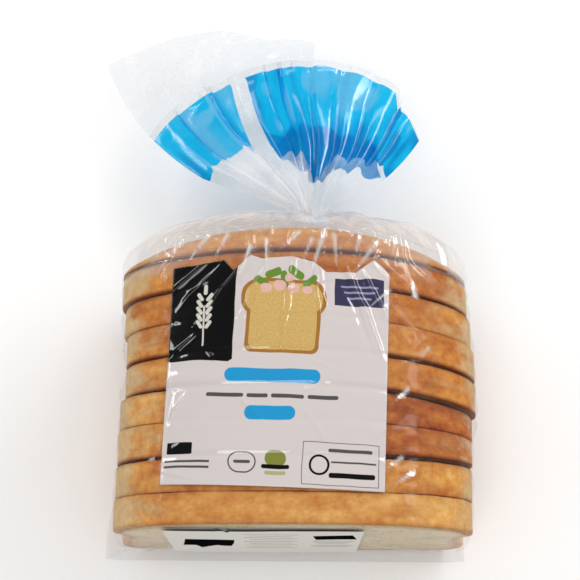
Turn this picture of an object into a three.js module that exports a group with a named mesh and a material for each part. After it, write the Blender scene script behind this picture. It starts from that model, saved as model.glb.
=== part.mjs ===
// A loaf of sliced bread in a clear film bag with a gathered neck, lying on its flat base, dome and label up.
// Millimetres. +X runs across the slices, +Y along the loaf to the neck, +Z up.
// The origin is on the table under the middle of the loaf.

import * as THREE from 'three';

// The loaf: slices pushed together, some with a gap between them.
// The lists run from the slice at the neck to the slice at the closed end.
const sliceThickness = 14.4;
const sliceGaps = [0.8, 0.8, 0.1, 1.0, 1.2, 0.1, 1.2, 0.1];
const sliceShifts = [0.5, 0.9, 2.3, 3.5, 3.8, 1.8, 1.4, 1.0, 0.6];
const sliceCount = sliceShifts.length;
const loafLength = sliceCount * sliceThickness + sliceGaps.reduce((sum, gap) => sum + gap, 0);
const grooveDepth = 1.8;
const grooveEdge = 1;
const endRounding = 2.5;
const faceInset = 0.15;

// The film's outline round one slice.
const baseHalfWidth = 66;
const cornerRadius = 16;
const bulgeHalfWidth = 79.6;
const bulgeHeight = 58;
const domeHeight = 99;
const domeRoundness = 0.65;
const outlinePoints = 80;
const middleHeight = 45;

// The loose web of film along the table, on the left and the right side, and under the closed end.
const webReachLeft = 15;
const webReachRight = 9;
const webReachEnd = 4.5;
const webHeight = 10;
const webStart = 20;
const webLevel = 2;
const webThickness = 3.5;

// The sides of the slices lean back from the neck, more on the right.
const leanRight = 8;
const leanRightStart = -38;
const leanRightFull = -4;
const leanLeft = 6.5;
const leanLeftStart = -30;
const leanLeftFull = 90;
const leanHalfWidth = 80;

// The film over the first slice, drawn in to the neck.
const heelRounding = 13;
const shoulderRings = 9;
const shoulderSpacing = 2.2;
const shoulderPower = 0.36;
const shoulderPleats = 16;
const shoulderPleatDepth = 1.3;
const neckCentre = new THREE.Vector3(9, 84, 50);
const neckHalfWidth = 8.5;
const neckHalfHeight = 5;
const neckStretch = 0.5;

// The fan of film past the neck. The corners of its free edge are measured from the neck, left to right.
const fanCorners = [[-106, 97], [-46, 118], [-13, 109], [11, 105], [12, 90], [46, 71], [52, 45]];
const fanTurnLeft = THREE.MathUtils.degToRad(-18);
const fanTurnRight = THREE.MathUtils.degToRad(10);
const fanRings = 13;
const fanPleats = 8;
const fanPleatDepth = 4;
const fanPleatGrowth = 70;
const fanBlendLength = 16;
const fanThickness = 2.4;
const lipThickness = 1.2;
const lipStart = 92;
const lipTaper = 5;
const fanDroop = 30;
const fanDroopLength = 130;
const fanDroopPower = 1.5;

// The printed label, a thin sheet over the dome.
const labelCentre = new THREE.Vector2(-6.5, -2.5);
const labelWidth = 94;
const labelLength = 98;
const labelTurn = THREE.MathUtils.degToRad(-2);
const labelThickness = 0.7;
const labelGap = 0.4;
const labelColumns = 16;
const labelRows = 20;
const labelReach = 5;

const lerp = THREE.MathUtils.lerp;
const clamp = THREE.MathUtils.clamp;
const smoothstep = THREE.MathUtils.smoothstep;

// Half the film's outline, from the middle of the base up the right side to the top of the dome.
function halfOutline() {
  const path = new THREE.Path();
  path.moveTo(0, 0);
  path.lineTo(baseHalfWidth, 0);
  path.absarc(baseHalfWidth, cornerRadius, cornerRadius, -Math.PI / 2, 0, false);
  path.lineTo(bulgeHalfWidth, bulgeHeight);
  path.bezierCurveTo(
    bulgeHalfWidth, lerp(bulgeHeight, domeHeight, domeRoundness),
    bulgeHalfWidth * domeRoundness, domeHeight,
    0, domeHeight,
  );
  return path.getSpacedPoints(outlinePoints / 2);
}

// The whole outline: point 0 is the middle of the base, and the numbers rise up the right side.
function wholeOutline() {
  const right = halfOutline();
  const left = right.slice(1, -1).reverse().map((point) => new THREE.Vector2(-point.x, point.y));
  return [...right, ...left];
}

const outline = wholeOutline();

// How far the film's lower corner is drawn out into a flat web, at most at one height above the table.
function webShape(point) {
  if (Math.abs(point.x) < baseHalfWidth) {
    return 0;
  }
  return Math.exp(-(((point.y - webLevel) / webThickness) ** 2));
}

// How far a slice's side leans back at a distance from the loaf's middle line.
function leanBack(x, y) {
  const right = leanRight * smoothstep(y, leanRightStart, leanRightFull);
  const left = leanLeft * smoothstep(y, leanLeftStart, leanLeftFull);
  return (x > 0 ? right : left) * (x / leanHalfWidth) ** 2;
}

// One ring of the film round the loaf at a place along it.
function loafRing(y, shift, inset) {
  const towardEnd = smoothstep(-y, -webStart, loafLength / 2);
  return outline.map((point) => {
    const reach = point.x < 0 ? webReachLeft : webReachRight;
    const lift = smoothstep(point.y, 0, cornerRadius);
    const middle = new THREE.Vector2(0, middleHeight);
    const inward = middle.clone().sub(point).normalize().multiplyScalar(inset * lift);
    const web = Math.sign(point.x) * reach * webShape(point) * towardEnd;
    const place = y - leanBack(point.x, y);
    return new THREE.Vector3(point.x + shift * lift + web + inward.x, place, point.y + inward.y);
  });
}

// Where each slice starts and ends along the loaf, from the neck to the closed end.
function sliceSpans() {
  const spans = [];
  let near = loafLength / 2;
  for (let i = 0; i < sliceCount; i += 1) {
    spans.push({ near, far: near - sliceThickness, shift: sliceShifts[i] });
    near -= sliceThickness + (sliceGaps[i] ?? 0);
  }
  return spans;
}

const spans = sliceSpans();

// The closed end: a flat face with a rounded rim, and the film's web spreading on the table below it.
function endRings() {
  const last = spans[sliceCount - 1];
  const rim = loafRing(last.far + endRounding, last.shift, 0);
  const face = loafRing(last.far, last.shift, endRounding);
  const middle = new THREE.Vector3(last.shift, last.far, middleHeight);
  const inner = face.map((point) => point.clone().lerp(middle, faceInset));
  for (const point of face) {
    point.y -= webReachEnd * (1 - smoothstep(point.z, 0, webHeight));
  }
  return [inner, face, rim];
}

// The rings along the slices, with a groove between each two.
function bodyRings() {
  const rings = [];
  for (let i = sliceCount - 1; i >= 1; i -= 1) {
    const span = spans[i];
    const next = spans[i - 1];
    if (i < sliceCount - 1) {
      rings.push(loafRing(span.far + grooveEdge, span.shift, 0));
    }
    rings.push(loafRing(span.near - grooveEdge, span.shift, 0));
    rings.push(loafRing((span.near + next.far) / 2, (span.shift + next.shift) / 2, grooveDepth));
  }
  rings.push(loafRing(spans[0].far + grooveEdge, spans[0].shift, 0));
  return rings;
}

// The neck's oval, with the same numbering as the outline.
function neckPoint(index, along) {
  const turn = (2 * Math.PI * index) / outlinePoints;
  return new THREE.Vector3(
    neckCentre.x + neckHalfWidth * Math.sin(turn),
    neckCentre.y + along,
    neckCentre.z - neckHalfHeight * Math.cos(turn),
  );
}

// The film from the first slice in to the neck.
function shoulderRingsList() {
  const startY = loafLength / 2 - heelRounding;
  const start = loafRing(startY, spans[0].shift, 0);
  const rings = [start];
  for (let j = 1; j <= shoulderRings; j += 1) {
    const drawnIn = (j / shoulderRings) ** shoulderSpacing;
    const depth = shoulderPleatDepth * Math.sin(Math.PI * Math.sqrt(drawnIn));
    rings.push(start.map((point, index) => {
      const ringPoint = point.clone().lerp(neckPoint(index, 0), drawnIn);
      const pleat = Math.cos((2 * Math.PI * shoulderPleats * index) / outlinePoints);
      ringPoint.y = lerp(point.y, neckCentre.y, drawnIn ** shoulderPower) + depth * pleat;
      return ringPoint;
    }));
  }
  return rings;
}

// A point of the fan's free edge, from its left corner (0) to its right one (1), by its angle at the neck.
const fanAngles = fanCorners.map(([x, y]) => Math.atan2(x, y));

function fanEdge(across) {
  const angle = lerp(fanAngles[0], fanAngles.at(-1), clamp(across, 0, 1));
  const first = clamp(fanAngles.findLastIndex((corner) => corner <= angle), 0, fanCorners.length - 2);
  const along = (angle - fanAngles[first]) / (fanAngles[first + 1] - fanAngles[first]);
  return new THREE.Vector2(...fanCorners[first]).lerp(new THREE.Vector2(...fanCorners[first + 1]), along);
}

// A point of the fan. Across runs from left to right, out from the neck to the free edge.
// Layer is 1 for the front of the film, -1 for its back and 0 at the two side edges.
function fanPoint(across, out, layer) {
  const edge = fanEdge(across);
  const reach = edge.length() * out;
  const turn = lerp(fanTurnLeft, fanTurnRight, across) * (1 - out * out);
  const angle = Math.atan2(edge.x, edge.y) + turn;
  const thickness = lerp(fanThickness, lipThickness, smoothstep(reach, lipStart - lipTaper, lipStart));
  const droop = fanDroop * (reach / fanDroopLength) ** fanDroopPower;
  const pleatDepth = fanPleatDepth * Math.min(1, reach / fanPleatGrowth);
  const pleat = pleatDepth * Math.sin(2 * Math.PI * fanPleats * across);
  return new THREE.Vector3(
    neckCentre.x + reach * Math.sin(angle),
    neckCentre.y + reach * Math.cos(angle),
    neckCentre.z - droop + pleat + layer * thickness / 2,
  );
}

// The rings of the fan: the front runs over the top from right to left, the back returns below.
function fanRingsList() {
  const rings = [];
  const quarter = outlinePoints / 4;
  const edgeTaper = 8;
  for (let j = 1; j <= fanRings; j += 1) {
    const out = j / fanRings;
    const ring = [];
    for (let index = 0; index < outlinePoints; index += 1) {
      const fromRight = (index - quarter + outlinePoints) % outlinePoints;
      const front = fromRight <= outlinePoints / 2;
      const walk = front ? fromRight : outlinePoints - fromRight;
      const across = 1 - walk / (outlinePoints / 2);
      const layer = Math.min(1, edgeTaper * Math.min(across, 1 - across)) * (front ? 1 : -1);
      const reach = fanEdge(across).length() * out;
      const opened = smoothstep(reach, 0, fanBlendLength);
      ring.push(neckPoint(index, reach * neckStretch).lerp(fanPoint(across, out, layer), opened));
    }
    rings.push(ring);
  }
  return rings;
}

// A closed mesh over a row of rings. The first ring is closed by a fan of triangles round its middle,
// the last, flat one by a strip between its front and its back.
function skinRings(rings) {
  const count = outlinePoints;
  const vertices = rings.flat();
  const triangles = [];
  for (let ring = 0; ring < rings.length - 1; ring += 1) {
    for (let index = 0; index < count; index += 1) {
      const a = ring * count + index;
      const b = ring * count + (index + 1) % count;
      triangles.push([a, a + count, b], [b, a + count, b + count]);
    }
  }
  const middle = rings[0].reduce((sum, point) => sum.add(point), new THREE.Vector3()).divideScalar(count);
  vertices.push(middle);
  for (let index = 0; index < count; index += 1) {
    triangles.push([vertices.length - 1, index, (index + 1) % count]);
  }
  const last = (rings.length - 1) * count;
  const quarter = count / 4;
  for (let step = 0; step < count / 2; step += 1) {
    const frontA = last + quarter + step;
    const frontB = frontA + 1;
    const backA = last + (quarter - step + count) % count;
    const backB = last + (quarter - step - 1 + count) % count;
    if (step > 0) {
      triangles.push([frontA, backA, frontB]);
    }
    if (step < count / 2 - 1) {
      triangles.push([frontB, backA, backB]);
    }
  }
  return meshGeometry(vertices, triangles);
}

function meshGeometry(vertices, triangles) {
  const geometry = new THREE.BufferGeometry();
  const positions = vertices.flatMap((vertex) => vertex.toArray());
  geometry.setAttribute('position', new THREE.Float32BufferAttribute(positions, 3));
  geometry.setIndex(triangles.flat());
  geometry.computeVertexNormals();
  return geometry;
}

// The height of the film's dome above the table, at a distance from its middle line.
const domePoints = halfOutline().filter((point) => point.y >= bulgeHeight);

function domeHeightAt(distance) {
  const x = Math.abs(distance);
  const next = domePoints.findIndex((point) => point.x <= x);
  const inner = domePoints[next];
  const outer = domePoints[next - 1];
  if (!outer) {
    return inner.y;
  }
  return lerp(inner.y, outer.y, (x - inner.x) / (outer.x - inner.x));
}

// The label's underside: clear of the highest slice within reach.
function labelHeight(x, y) {
  const near = spans.filter((span) => span.far - labelReach < y && span.near + labelReach > y);
  return Math.max(...near.map((span) => domeHeightAt(x - span.shift))) + labelGap;
}

function labelGeometry() {
  const vertices = [];
  for (const lift of [0, labelThickness]) {
    for (let row = 0; row <= labelRows; row += 1) {
      for (let column = 0; column <= labelColumns; column += 1) {
        const place = new THREE.Vector2(
          (column / labelColumns - 0.5) * labelWidth,
          (row / labelRows - 0.5) * labelLength,
        );
        place.rotateAround(new THREE.Vector2(), labelTurn).add(labelCentre);
        vertices.push(new THREE.Vector3(place.x, place.y, labelHeight(place.x, place.y) + lift));
      }
    }
  }
  const stride = labelColumns + 1;
  const layer = stride * (labelRows + 1);
  const triangles = [];
  for (let row = 0; row < labelRows; row += 1) {
    for (let column = 0; column < labelColumns; column += 1) {
      const a = row * stride + column;
      const b = a + 1;
      const c = a + stride;
      const d = c + 1;
      triangles.push([a, c, b], [b, c, d]);
      triangles.push([a + layer, b + layer, c + layer], [b + layer, d + layer, c + layer]);
    }
  }
  const rim = [];
  for (let column = 0; column < labelColumns; column += 1) {
    rim.push(column);
  }
  for (let row = 0; row < labelRows; row += 1) {
    rim.push(row * stride + labelColumns);
  }
  for (let column = labelColumns; column > 0; column -= 1) {
    rim.push(labelRows * stride + column);
  }
  for (let row = labelRows; row > 0; row -= 1) {
    rim.push(row * stride);
  }
  rim.forEach((a, index) => {
    const b = rim[(index + 1) % rim.length];
    triangles.push([a, b, a + layer], [b, b + layer, a + layer]);
  });
  return meshGeometry(vertices, triangles);
}

const bagMaterial = new THREE.MeshStandardMaterial({ color: 0xc68a52, roughness: 0.35, metalness: 0 });
const labelMaterial = new THREE.MeshStandardMaterial({ color: 0xdcd4d0, roughness: 0.4, metalness: 0 });

const bag = new THREE.Mesh(
  skinRings([...endRings(), ...bodyRings(), ...shoulderRingsList(), ...fanRingsList()]),
  bagMaterial,
);
bag.name = 'bag';

const frontLabel = new THREE.Mesh(labelGeometry(), labelMaterial);
frontLabel.name = 'front_label';

const loafInBag = new THREE.Group();
loafInBag.add(bag, frontLabel);

export default loafInBag;
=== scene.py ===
# A loaf of sliced bread in a clear film bag: its looks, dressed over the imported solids.
# Lengths are millimetres until a mesh is made, then metres. +X runs across the slices, +Y to the neck, +Z up.

import math

import bmesh
import bpy
import numpy as np
from mathutils import Matrix, Vector


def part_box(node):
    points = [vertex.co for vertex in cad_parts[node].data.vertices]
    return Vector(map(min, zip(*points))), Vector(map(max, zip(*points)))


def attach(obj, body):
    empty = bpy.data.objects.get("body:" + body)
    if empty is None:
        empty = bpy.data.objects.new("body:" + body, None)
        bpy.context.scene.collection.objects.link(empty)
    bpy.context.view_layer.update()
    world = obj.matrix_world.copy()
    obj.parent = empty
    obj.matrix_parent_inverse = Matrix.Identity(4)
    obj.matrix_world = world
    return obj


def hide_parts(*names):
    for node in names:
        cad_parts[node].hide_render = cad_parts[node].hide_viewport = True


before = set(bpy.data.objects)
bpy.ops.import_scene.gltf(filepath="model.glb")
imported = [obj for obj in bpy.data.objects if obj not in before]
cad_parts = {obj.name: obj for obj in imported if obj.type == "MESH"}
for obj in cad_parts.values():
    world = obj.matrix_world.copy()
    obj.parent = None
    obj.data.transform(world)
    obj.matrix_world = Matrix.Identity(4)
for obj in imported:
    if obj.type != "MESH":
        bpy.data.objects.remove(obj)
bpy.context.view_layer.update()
MM = 0.001
bag_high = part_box("bag")[1] / MM
label_low, label_high = (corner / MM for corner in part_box("front_label"))

# The loaf, from the slice at the neck to the slice at the closed end.
SLICE_PITCH = 14.4
SLICE_GAPS = [0.8, 0.8, 0.1, 1.0, 1.2, 0.1, 1.2, 0.1]
SLICE_SHIFTS = [0.5, 0.9, 2.3, 3.5, 3.8, 1.8, 1.4, 1.0, 0.6]
TONES_LEFT = [0.36, 0.48, 0.52, 0.44, 0.38, 0.34, 0.44, 0.42, 0.32]
TONES_RIGHT = [0.40, 0.56, 0.50, 0.46, 0.48, 0.74, 0.64, 0.36, 0.26]
SLICE_COUNT = len(SLICE_SHIFTS)
LOAF_LENGTH = SLICE_COUNT * SLICE_PITCH + sum(SLICE_GAPS)
FILM_CLEARANCE = 1.0
# A gap wider than OPEN_GAP looks open: its slices stand back by GAP_OPENING.
OPEN_GAP = 0.5
GAP_OPENING = 0.25
# A gap narrows to its left by this share of its width.
GAP_CLOSING = 0.6
HEEL_ROUNDING = 12.0
HEEL_BOW = 9.0
SLICE_MIDDLE = (0.0, 45.0)
SLICE_BASE = 1.0
SLICE_EDGE = 0.8
SLICE_NOTCH = 3.2
FACE_REACH = 60.0
CRUST_THICKNESS = 1.6
TOASTED_RIM = 0.9
TOASTED_DEPTH = 1.5
# Columns round a slice and rings over its cut faces: for the slice whose face shows, and for the others.
SHOWN_GRID = (440, 64)
HIDDEN_GRID = (280, 10)
# How deep the crumb's holes are, and how high the crust's lumps, in metres.
SHOWN_HOLES = 0.0024
HIDDEN_HOLES = 0.0008
CRUST_LUMPS = 0.0005

# The film round the loaf.
DOME_HEIGHT = bag_high.z
BASE_HALF_WIDTH = 66.0
CORNER_RADIUS = 16.0
BULGE_HALF_WIDTH = 79.6
BULGE_HEIGHT = 58.0
DOME_ROUNDNESS = 0.65
FILM_FLOOR = 0.15
END_ROUNDING = 2.5
WEB_REACH_LEFT = 15.0
WEB_REACH_RIGHT = 9.0
WEB_REACH_END = 4.5
WEB_LEVEL = 1.7
WEB_THICKNESS = 2.2
WEB_START = 20.0

# The sides of the slices lean back from the neck, more on the right.
LEAN_RIGHT = 8.0
LEAN_LEFT = 6.5
LEAN_HALF_WIDTH = 80.0

# The shoulder, the neck and the fan of loose film past it.
SHOULDER_POWER = 0.36
NECK = np.array([9.0, 84.0, 50.0])
NECK_HALF_WIDTH = 8.5
NECK_HALF_HEIGHT = 5.0
FAN_DROOP = 30.0
FAN_DROOP_LENGTH = 130.0
FAN_GAP = 3.0
FAN_BLEND = 16.0


def smoothstep(value, low, high):
    share = np.clip((np.asarray(value, float) - low) / (high - low), 0.0, 1.0)
    return share * share * (3.0 - 2.0 * share)


def lerp(a, b, share):
    return a + (b - a) * share


def value_noise(points, size, seed):
    """Smooth noise from -1 to 1 with lumps about size wide."""
    table = np.random.default_rng(seed).uniform(-1.0, 1.0, 4096)
    place = np.asarray(points, float) / size
    cell = np.floor(place).astype(np.int64)
    part = smoothstep(place - cell, 0.0, 1.0)
    total = np.zeros(place.shape[:-1])
    for corner in np.ndindex(2, 2, 2):
        key = cell + np.array(corner)
        index = (key[..., 0] * 73856093 ^ key[..., 1] * 19349663 ^ key[..., 2] * 83492791) & 4095
        weight = np.prod(np.where(np.array(corner) == 1, part, 1.0 - part), axis=-1)
        total += table[index] * weight
    return total


def ridged_noise(points, size, seed):
    """Noise with sharp crests, from -1 to 1."""
    return 1.0 - 3.0 * np.abs(value_noise(points, size, seed))


def lean_back(x, y):
    """How far a slice's side leans back at a distance from the loaf's middle line."""
    right = LEAN_RIGHT * smoothstep(y, -38.0, -4.0)
    left = LEAN_LEFT * smoothstep(y, -30.0, 90.0)
    return np.where(x > 0, right, left) * (x / LEAN_HALF_WIDTH) ** 2


BEZIER_POINTS = 48


def bezier(a, b, c, d):
    """Points of a cubic curve from a to d, steered by b and c."""
    t = np.linspace(0.0, 1.0, BEZIER_POINTS)[:, None]
    a, b, c, d = (np.array(point, float) for point in (a, b, c, d))
    return a * (1 - t) ** 3 + 3 * b * t * (1 - t) ** 2 + 3 * c * t * t * (1 - t) + d * t ** 3


def arc_lengths(path):
    """The length of a path up to each of its points."""
    steps = np.linalg.norm(np.diff(path, axis=0), axis=1)
    return np.concatenate([[0.0], np.cumsum(steps)])


def resample(path, places):
    """Points of a path at given shares of its length."""
    lengths = arc_lengths(path)
    wanted = np.asarray(places) * lengths[-1]
    return np.stack([np.interp(wanted, lengths, path[:, i]) for i in range(path.shape[1])], axis=1)


def mirrored(right):
    """A closed outline from its right half, which runs from the base's middle up to the top."""
    left = right[-2:0:-1] * np.array([-1.0, 1.0])
    return np.vstack([right, left])


def unit(vector):
    return vector / np.linalg.norm(vector)


def outline_normals(outline):
    """Outward normals of a closed outline that runs counterclockwise."""
    along = np.roll(outline, -1, axis=0) - np.roll(outline, 1, axis=0)
    normals = np.stack([along[:, 1], -along[:, 0]], axis=1)
    return normals / np.maximum(np.linalg.norm(normals, axis=1, keepdims=True), 1e-9)


def grid_faces(rows, columns, closed):
    """Quads between the rows of a grid of vertices."""
    faces = []
    last = columns if closed else columns - 1
    for row in range(rows - 1):
        for column in range(last):
            after = (column + 1) % columns
            faces.append((
                row * columns + column,
                row * columns + after,
                (row + 1) * columns + after,
                (row + 1) * columns + column,
            ))
    return faces


def mesh_piece(name, vertices, faces):
    """A smooth mesh object from places in millimetres."""
    mesh = bpy.data.meshes.new(name)
    mesh.from_pydata((np.asarray(vertices) * MM).tolist(), [], faces)
    mesh.validate()
    mesh.polygons.foreach_set("use_smooth", [True] * len(mesh.polygons))
    piece = bpy.data.objects.new(name, mesh)
    bpy.context.scene.collection.objects.link(piece)
    return piece


def point_values(piece, name, values):
    attribute = piece.data.attributes.new(name, "FLOAT", "POINT")
    attribute.data.foreach_set("value", np.asarray(values, np.float32))


def vertex_uv(piece, name, places):
    """A UV map from one place for each vertex."""
    layer = piece.data.uv_layers.new(name=name)
    corners = np.empty(len(piece.data.loops), np.int64)
    piece.data.loops.foreach_get("vertex_index", corners)
    layer.data.foreach_set("uv", np.asarray(places, np.float32)[corners].ravel())


def point_faces_out(piece):
    solid = bmesh.new()
    solid.from_mesh(piece.data)
    bmesh.ops.recalc_face_normals(solid, faces=solid.faces)
    solid.to_mesh(piece.data)
    solid.free()


# Node helpers.


def socket_id(tree, name):
    return next(item.identifier for item in tree.interface.items_tree if item.name == name)


def node(tree, kind, **settings):
    made = tree.nodes.new(kind)
    for key, value in settings.items():
        setattr(made, key, value)
    return made


def feed(tree, target, source):
    """Links a socket, or sets a plain value."""
    if isinstance(source, bpy.types.NodeSocket):
        tree.links.new(source, target)
    else:
        target.default_value = source


def math_node(tree, operation, *values, clamp=False):
    made = node(tree, "ShaderNodeMath", operation=operation, use_clamp=clamp)
    for target, value in zip(made.inputs, values):
        feed(tree, target, value)
    return made.outputs[0]


def vector_math(tree, operation, *values):
    made = node(tree, "ShaderNodeVectorMath", operation=operation)
    for target, value in zip(made.inputs, values):
        feed(tree, target, value)
    return made.outputs["Vector"]


def scaled(tree, vector, scale):
    made = node(tree, "ShaderNodeVectorMath", operation="SCALE")
    feed(tree, made.inputs[0], vector)
    feed(tree, made.inputs["Scale"], scale)
    return made.outputs["Vector"]


def map_range(tree, value, low, high, to_low=0.0, to_high=1.0, kind="SMOOTHSTEP"):
    made = node(tree, "ShaderNodeMapRange", interpolation_type=kind)
    for name, setting in (("Value", value), ("From Min", low), ("From Max", high),
                          ("To Min", to_low), ("To Max", to_high)):
        feed(tree, made.inputs[name], setting)
    return made.outputs[0]


def mix_colour(tree, share, first, second, blend="MIX"):
    made = node(tree, "ShaderNodeMix", data_type="RGBA", blend_type=blend)
    feed(tree, made.inputs["Factor"], share)
    feed(tree, made.inputs["A"], first)
    feed(tree, made.inputs["B"], second)
    return made.outputs["Result"]


def noise_node(tree, place, scale, detail, roughness=0.55, kind="FBM"):
    made = node(tree, "ShaderNodeTexNoise", noise_type=kind)
    feed(tree, made.inputs["Vector"], place)
    feed(tree, made.inputs["Scale"], scale)
    made.inputs["Detail"].default_value = detail
    made.inputs["Roughness"].default_value = roughness
    return made.outputs["Fac"]


def new_group(name, inputs, outputs, kind="ShaderNodeTree"):
    tree = bpy.data.node_groups.new(name, kind)
    for label, socket, value in inputs:
        made = tree.interface.new_socket(label, in_out="INPUT", socket_type=socket)
        if value is not None:
            made.default_value = value
    for label, socket in outputs:
        tree.interface.new_socket(label, in_out="OUTPUT", socket_type=socket)
    return tree, node(tree, "NodeGroupInput").outputs, node(tree, "NodeGroupOutput").inputs


def use_group(tree, group, **values):
    made = node(tree, "ShaderNodeGroup", node_tree=group)
    for name, value in values.items():
        feed(tree, made.inputs[name.replace("_", " ")], value)
    return made.outputs


def srgb(red, green, blue):
    """A linear colour from 0 to 255 screen values."""
    def linear(value):
        share = value / 255.0
        return share / 12.92 if share <= 0.04045 else ((share + 0.055) / 1.055) ** 2.4
    return (linear(red), linear(green), linear(blue), 1.0)


FLOAT = "NodeSocketFloat"
VECTOR = "NodeSocketVector"


def film_creases_group():
    """Fine sharp creases of thin film, as a height, and the whitish haze on their crests."""
    tree, given, out = new_group(
        "film_creases",
        [("Vector", VECTOR, None), ("Scale", FLOAT, 30.0)],
        [("Height", FLOAT), ("Haze", FLOAT)],
    )
    bend = noise_node(tree, given["Vector"], given["Scale"], 2.0)
    pushed = vector_math(tree, "ADD", given["Vector"], scaled(tree, bend, 0.012))
    broad = noise_node(tree, pushed, given["Scale"], 1.0, 0.4, "RIDGED_MULTIFRACTAL")
    fine = noise_node(tree, pushed, math_node(tree, "MULTIPLY", given["Scale"], 3.3), 1.0, 0.4,
                      "RIDGED_MULTIFRACTAL")
    crest = math_node(tree, "ADD", broad, math_node(tree, "MULTIPLY", fine, 0.3))
    feed(tree, out["Height"], crest)
    feed(tree, out["Haze"], map_range(tree, crest, 0.9, 1.7))
    return tree


def bread_mottle_group():
    """Uneven browning in streaks along a slice, and the small dents of baked dough."""
    tree, given, out = new_group(
        "bread_mottle",
        [("Vector", VECTOR, None), ("Patch Scale", FLOAT, 40.0), ("Grain Scale", FLOAT, 700.0)],
        [("Patches", FLOAT), ("Grain", FLOAT), ("Height", FLOAT)],
    )
    drawn = vector_math(tree, "MULTIPLY", given["Vector"], (0.55, 1.6, 0.8))
    patches = noise_node(tree, drawn, given["Patch Scale"], 5.0, 0.62)
    grain = noise_node(tree, given["Vector"], given["Grain Scale"], 3.0, 0.6)
    dents = noise_node(tree, given["Vector"], math_node(tree, "MULTIPLY", given["Grain Scale"], 0.35), 2.0)
    height = math_node(tree, "ADD", math_node(tree, "MULTIPLY", grain, 0.35), dents)
    feed(tree, out["Patches"], map_range(tree, patches, 0.3, 0.7))
    feed(tree, out["Grain"], grain)
    feed(tree, out["Height"], height)
    return tree


PRINT_BLUR = 0.12


def print_box_group():
    """The mask of a printed box with round corners, in millimetres on the film."""
    tree, given, out = new_group(
        "print_box",
        [("Place", VECTOR, None), ("Centre", VECTOR, None), ("Half Size", VECTOR, None),
         ("Corner", FLOAT, 0.0), ("Turn", FLOAT, 0.0)],
        [("Mask", FLOAT)],
    )
    local = vector_math(tree, "SUBTRACT", given["Place"], given["Centre"])
    turned = node(tree, "ShaderNodeVectorRotate", rotation_type="Z_AXIS")
    feed(tree, turned.inputs["Vector"], local)
    feed(tree, turned.inputs["Angle"], given["Turn"])
    mirrored_place = vector_math(tree, "ABSOLUTE", turned.outputs[0])
    reach = vector_math(tree, "SUBTRACT", mirrored_place, given["Half Size"])
    parts = node(tree, "ShaderNodeSeparateXYZ")
    feed(tree, parts.inputs[0], reach)
    over_x = math_node(tree, "ADD", parts.outputs["X"], given["Corner"])
    over_y = math_node(tree, "ADD", parts.outputs["Y"], given["Corner"])
    outside_x = math_node(tree, "MAXIMUM", over_x, 0.0)
    outside_y = math_node(tree, "MAXIMUM", over_y, 0.0)
    squares = math_node(tree, "ADD", math_node(tree, "MULTIPLY", outside_x, outside_x),
                        math_node(tree, "MULTIPLY", outside_y, outside_y))
    inside = math_node(tree, "MINIMUM", math_node(tree, "MAXIMUM", over_x, over_y), 0.0)
    past_round = math_node(tree, "ADD", math_node(tree, "SQRT", squares), inside)
    distance = math_node(tree, "SUBTRACT", past_round, given["Corner"])
    feed(tree, out["Mask"], map_range(tree, distance, -PRINT_BLUR, PRINT_BLUR, 1.0, 0.0))
    return tree


FILM_CREASES = film_creases_group()
BREAD_MOTTLE = bread_mottle_group()
PRINT_BOX = print_box_group()


def new_material(name):
    material = bpy.data.materials.new(name)
    material.use_nodes = True
    tree = material.node_tree
    tree.nodes.clear()
    shader = node(tree, "ShaderNodeBsdfPrincipled")
    output = node(tree, "ShaderNodeOutputMaterial")
    tree.links.new(shader.outputs[0], output.inputs["Surface"])
    return material, tree, shader, output


def bump(tree, shader, height, distance, strength):
    made = node(tree, "ShaderNodeBump")
    made.inputs["Strength"].default_value = strength
    made.inputs["Distance"].default_value = distance
    feed(tree, made.inputs["Height"], height)
    feed(tree, shader.inputs["Normal"], made.outputs[0])


def object_place(tree):
    return node(tree, "ShaderNodeTexCoord").outputs["Object"]


def colour_ramp(tree, value, stops):
    made = node(tree, "ShaderNodeValToRGB")
    ramp = made.color_ramp
    while len(ramp.elements) < len(stops):
        ramp.elements.new(0.5)
    for element, (position, colour) in zip(ramp.elements, stops):
        element.position = position
        element.color = colour
    feed(tree, made.inputs[0], value)
    return made.outputs["Color"]


def named_value(tree, name):
    return node(tree, "ShaderNodeAttribute", attribute_name=name).outputs["Fac"]


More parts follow.
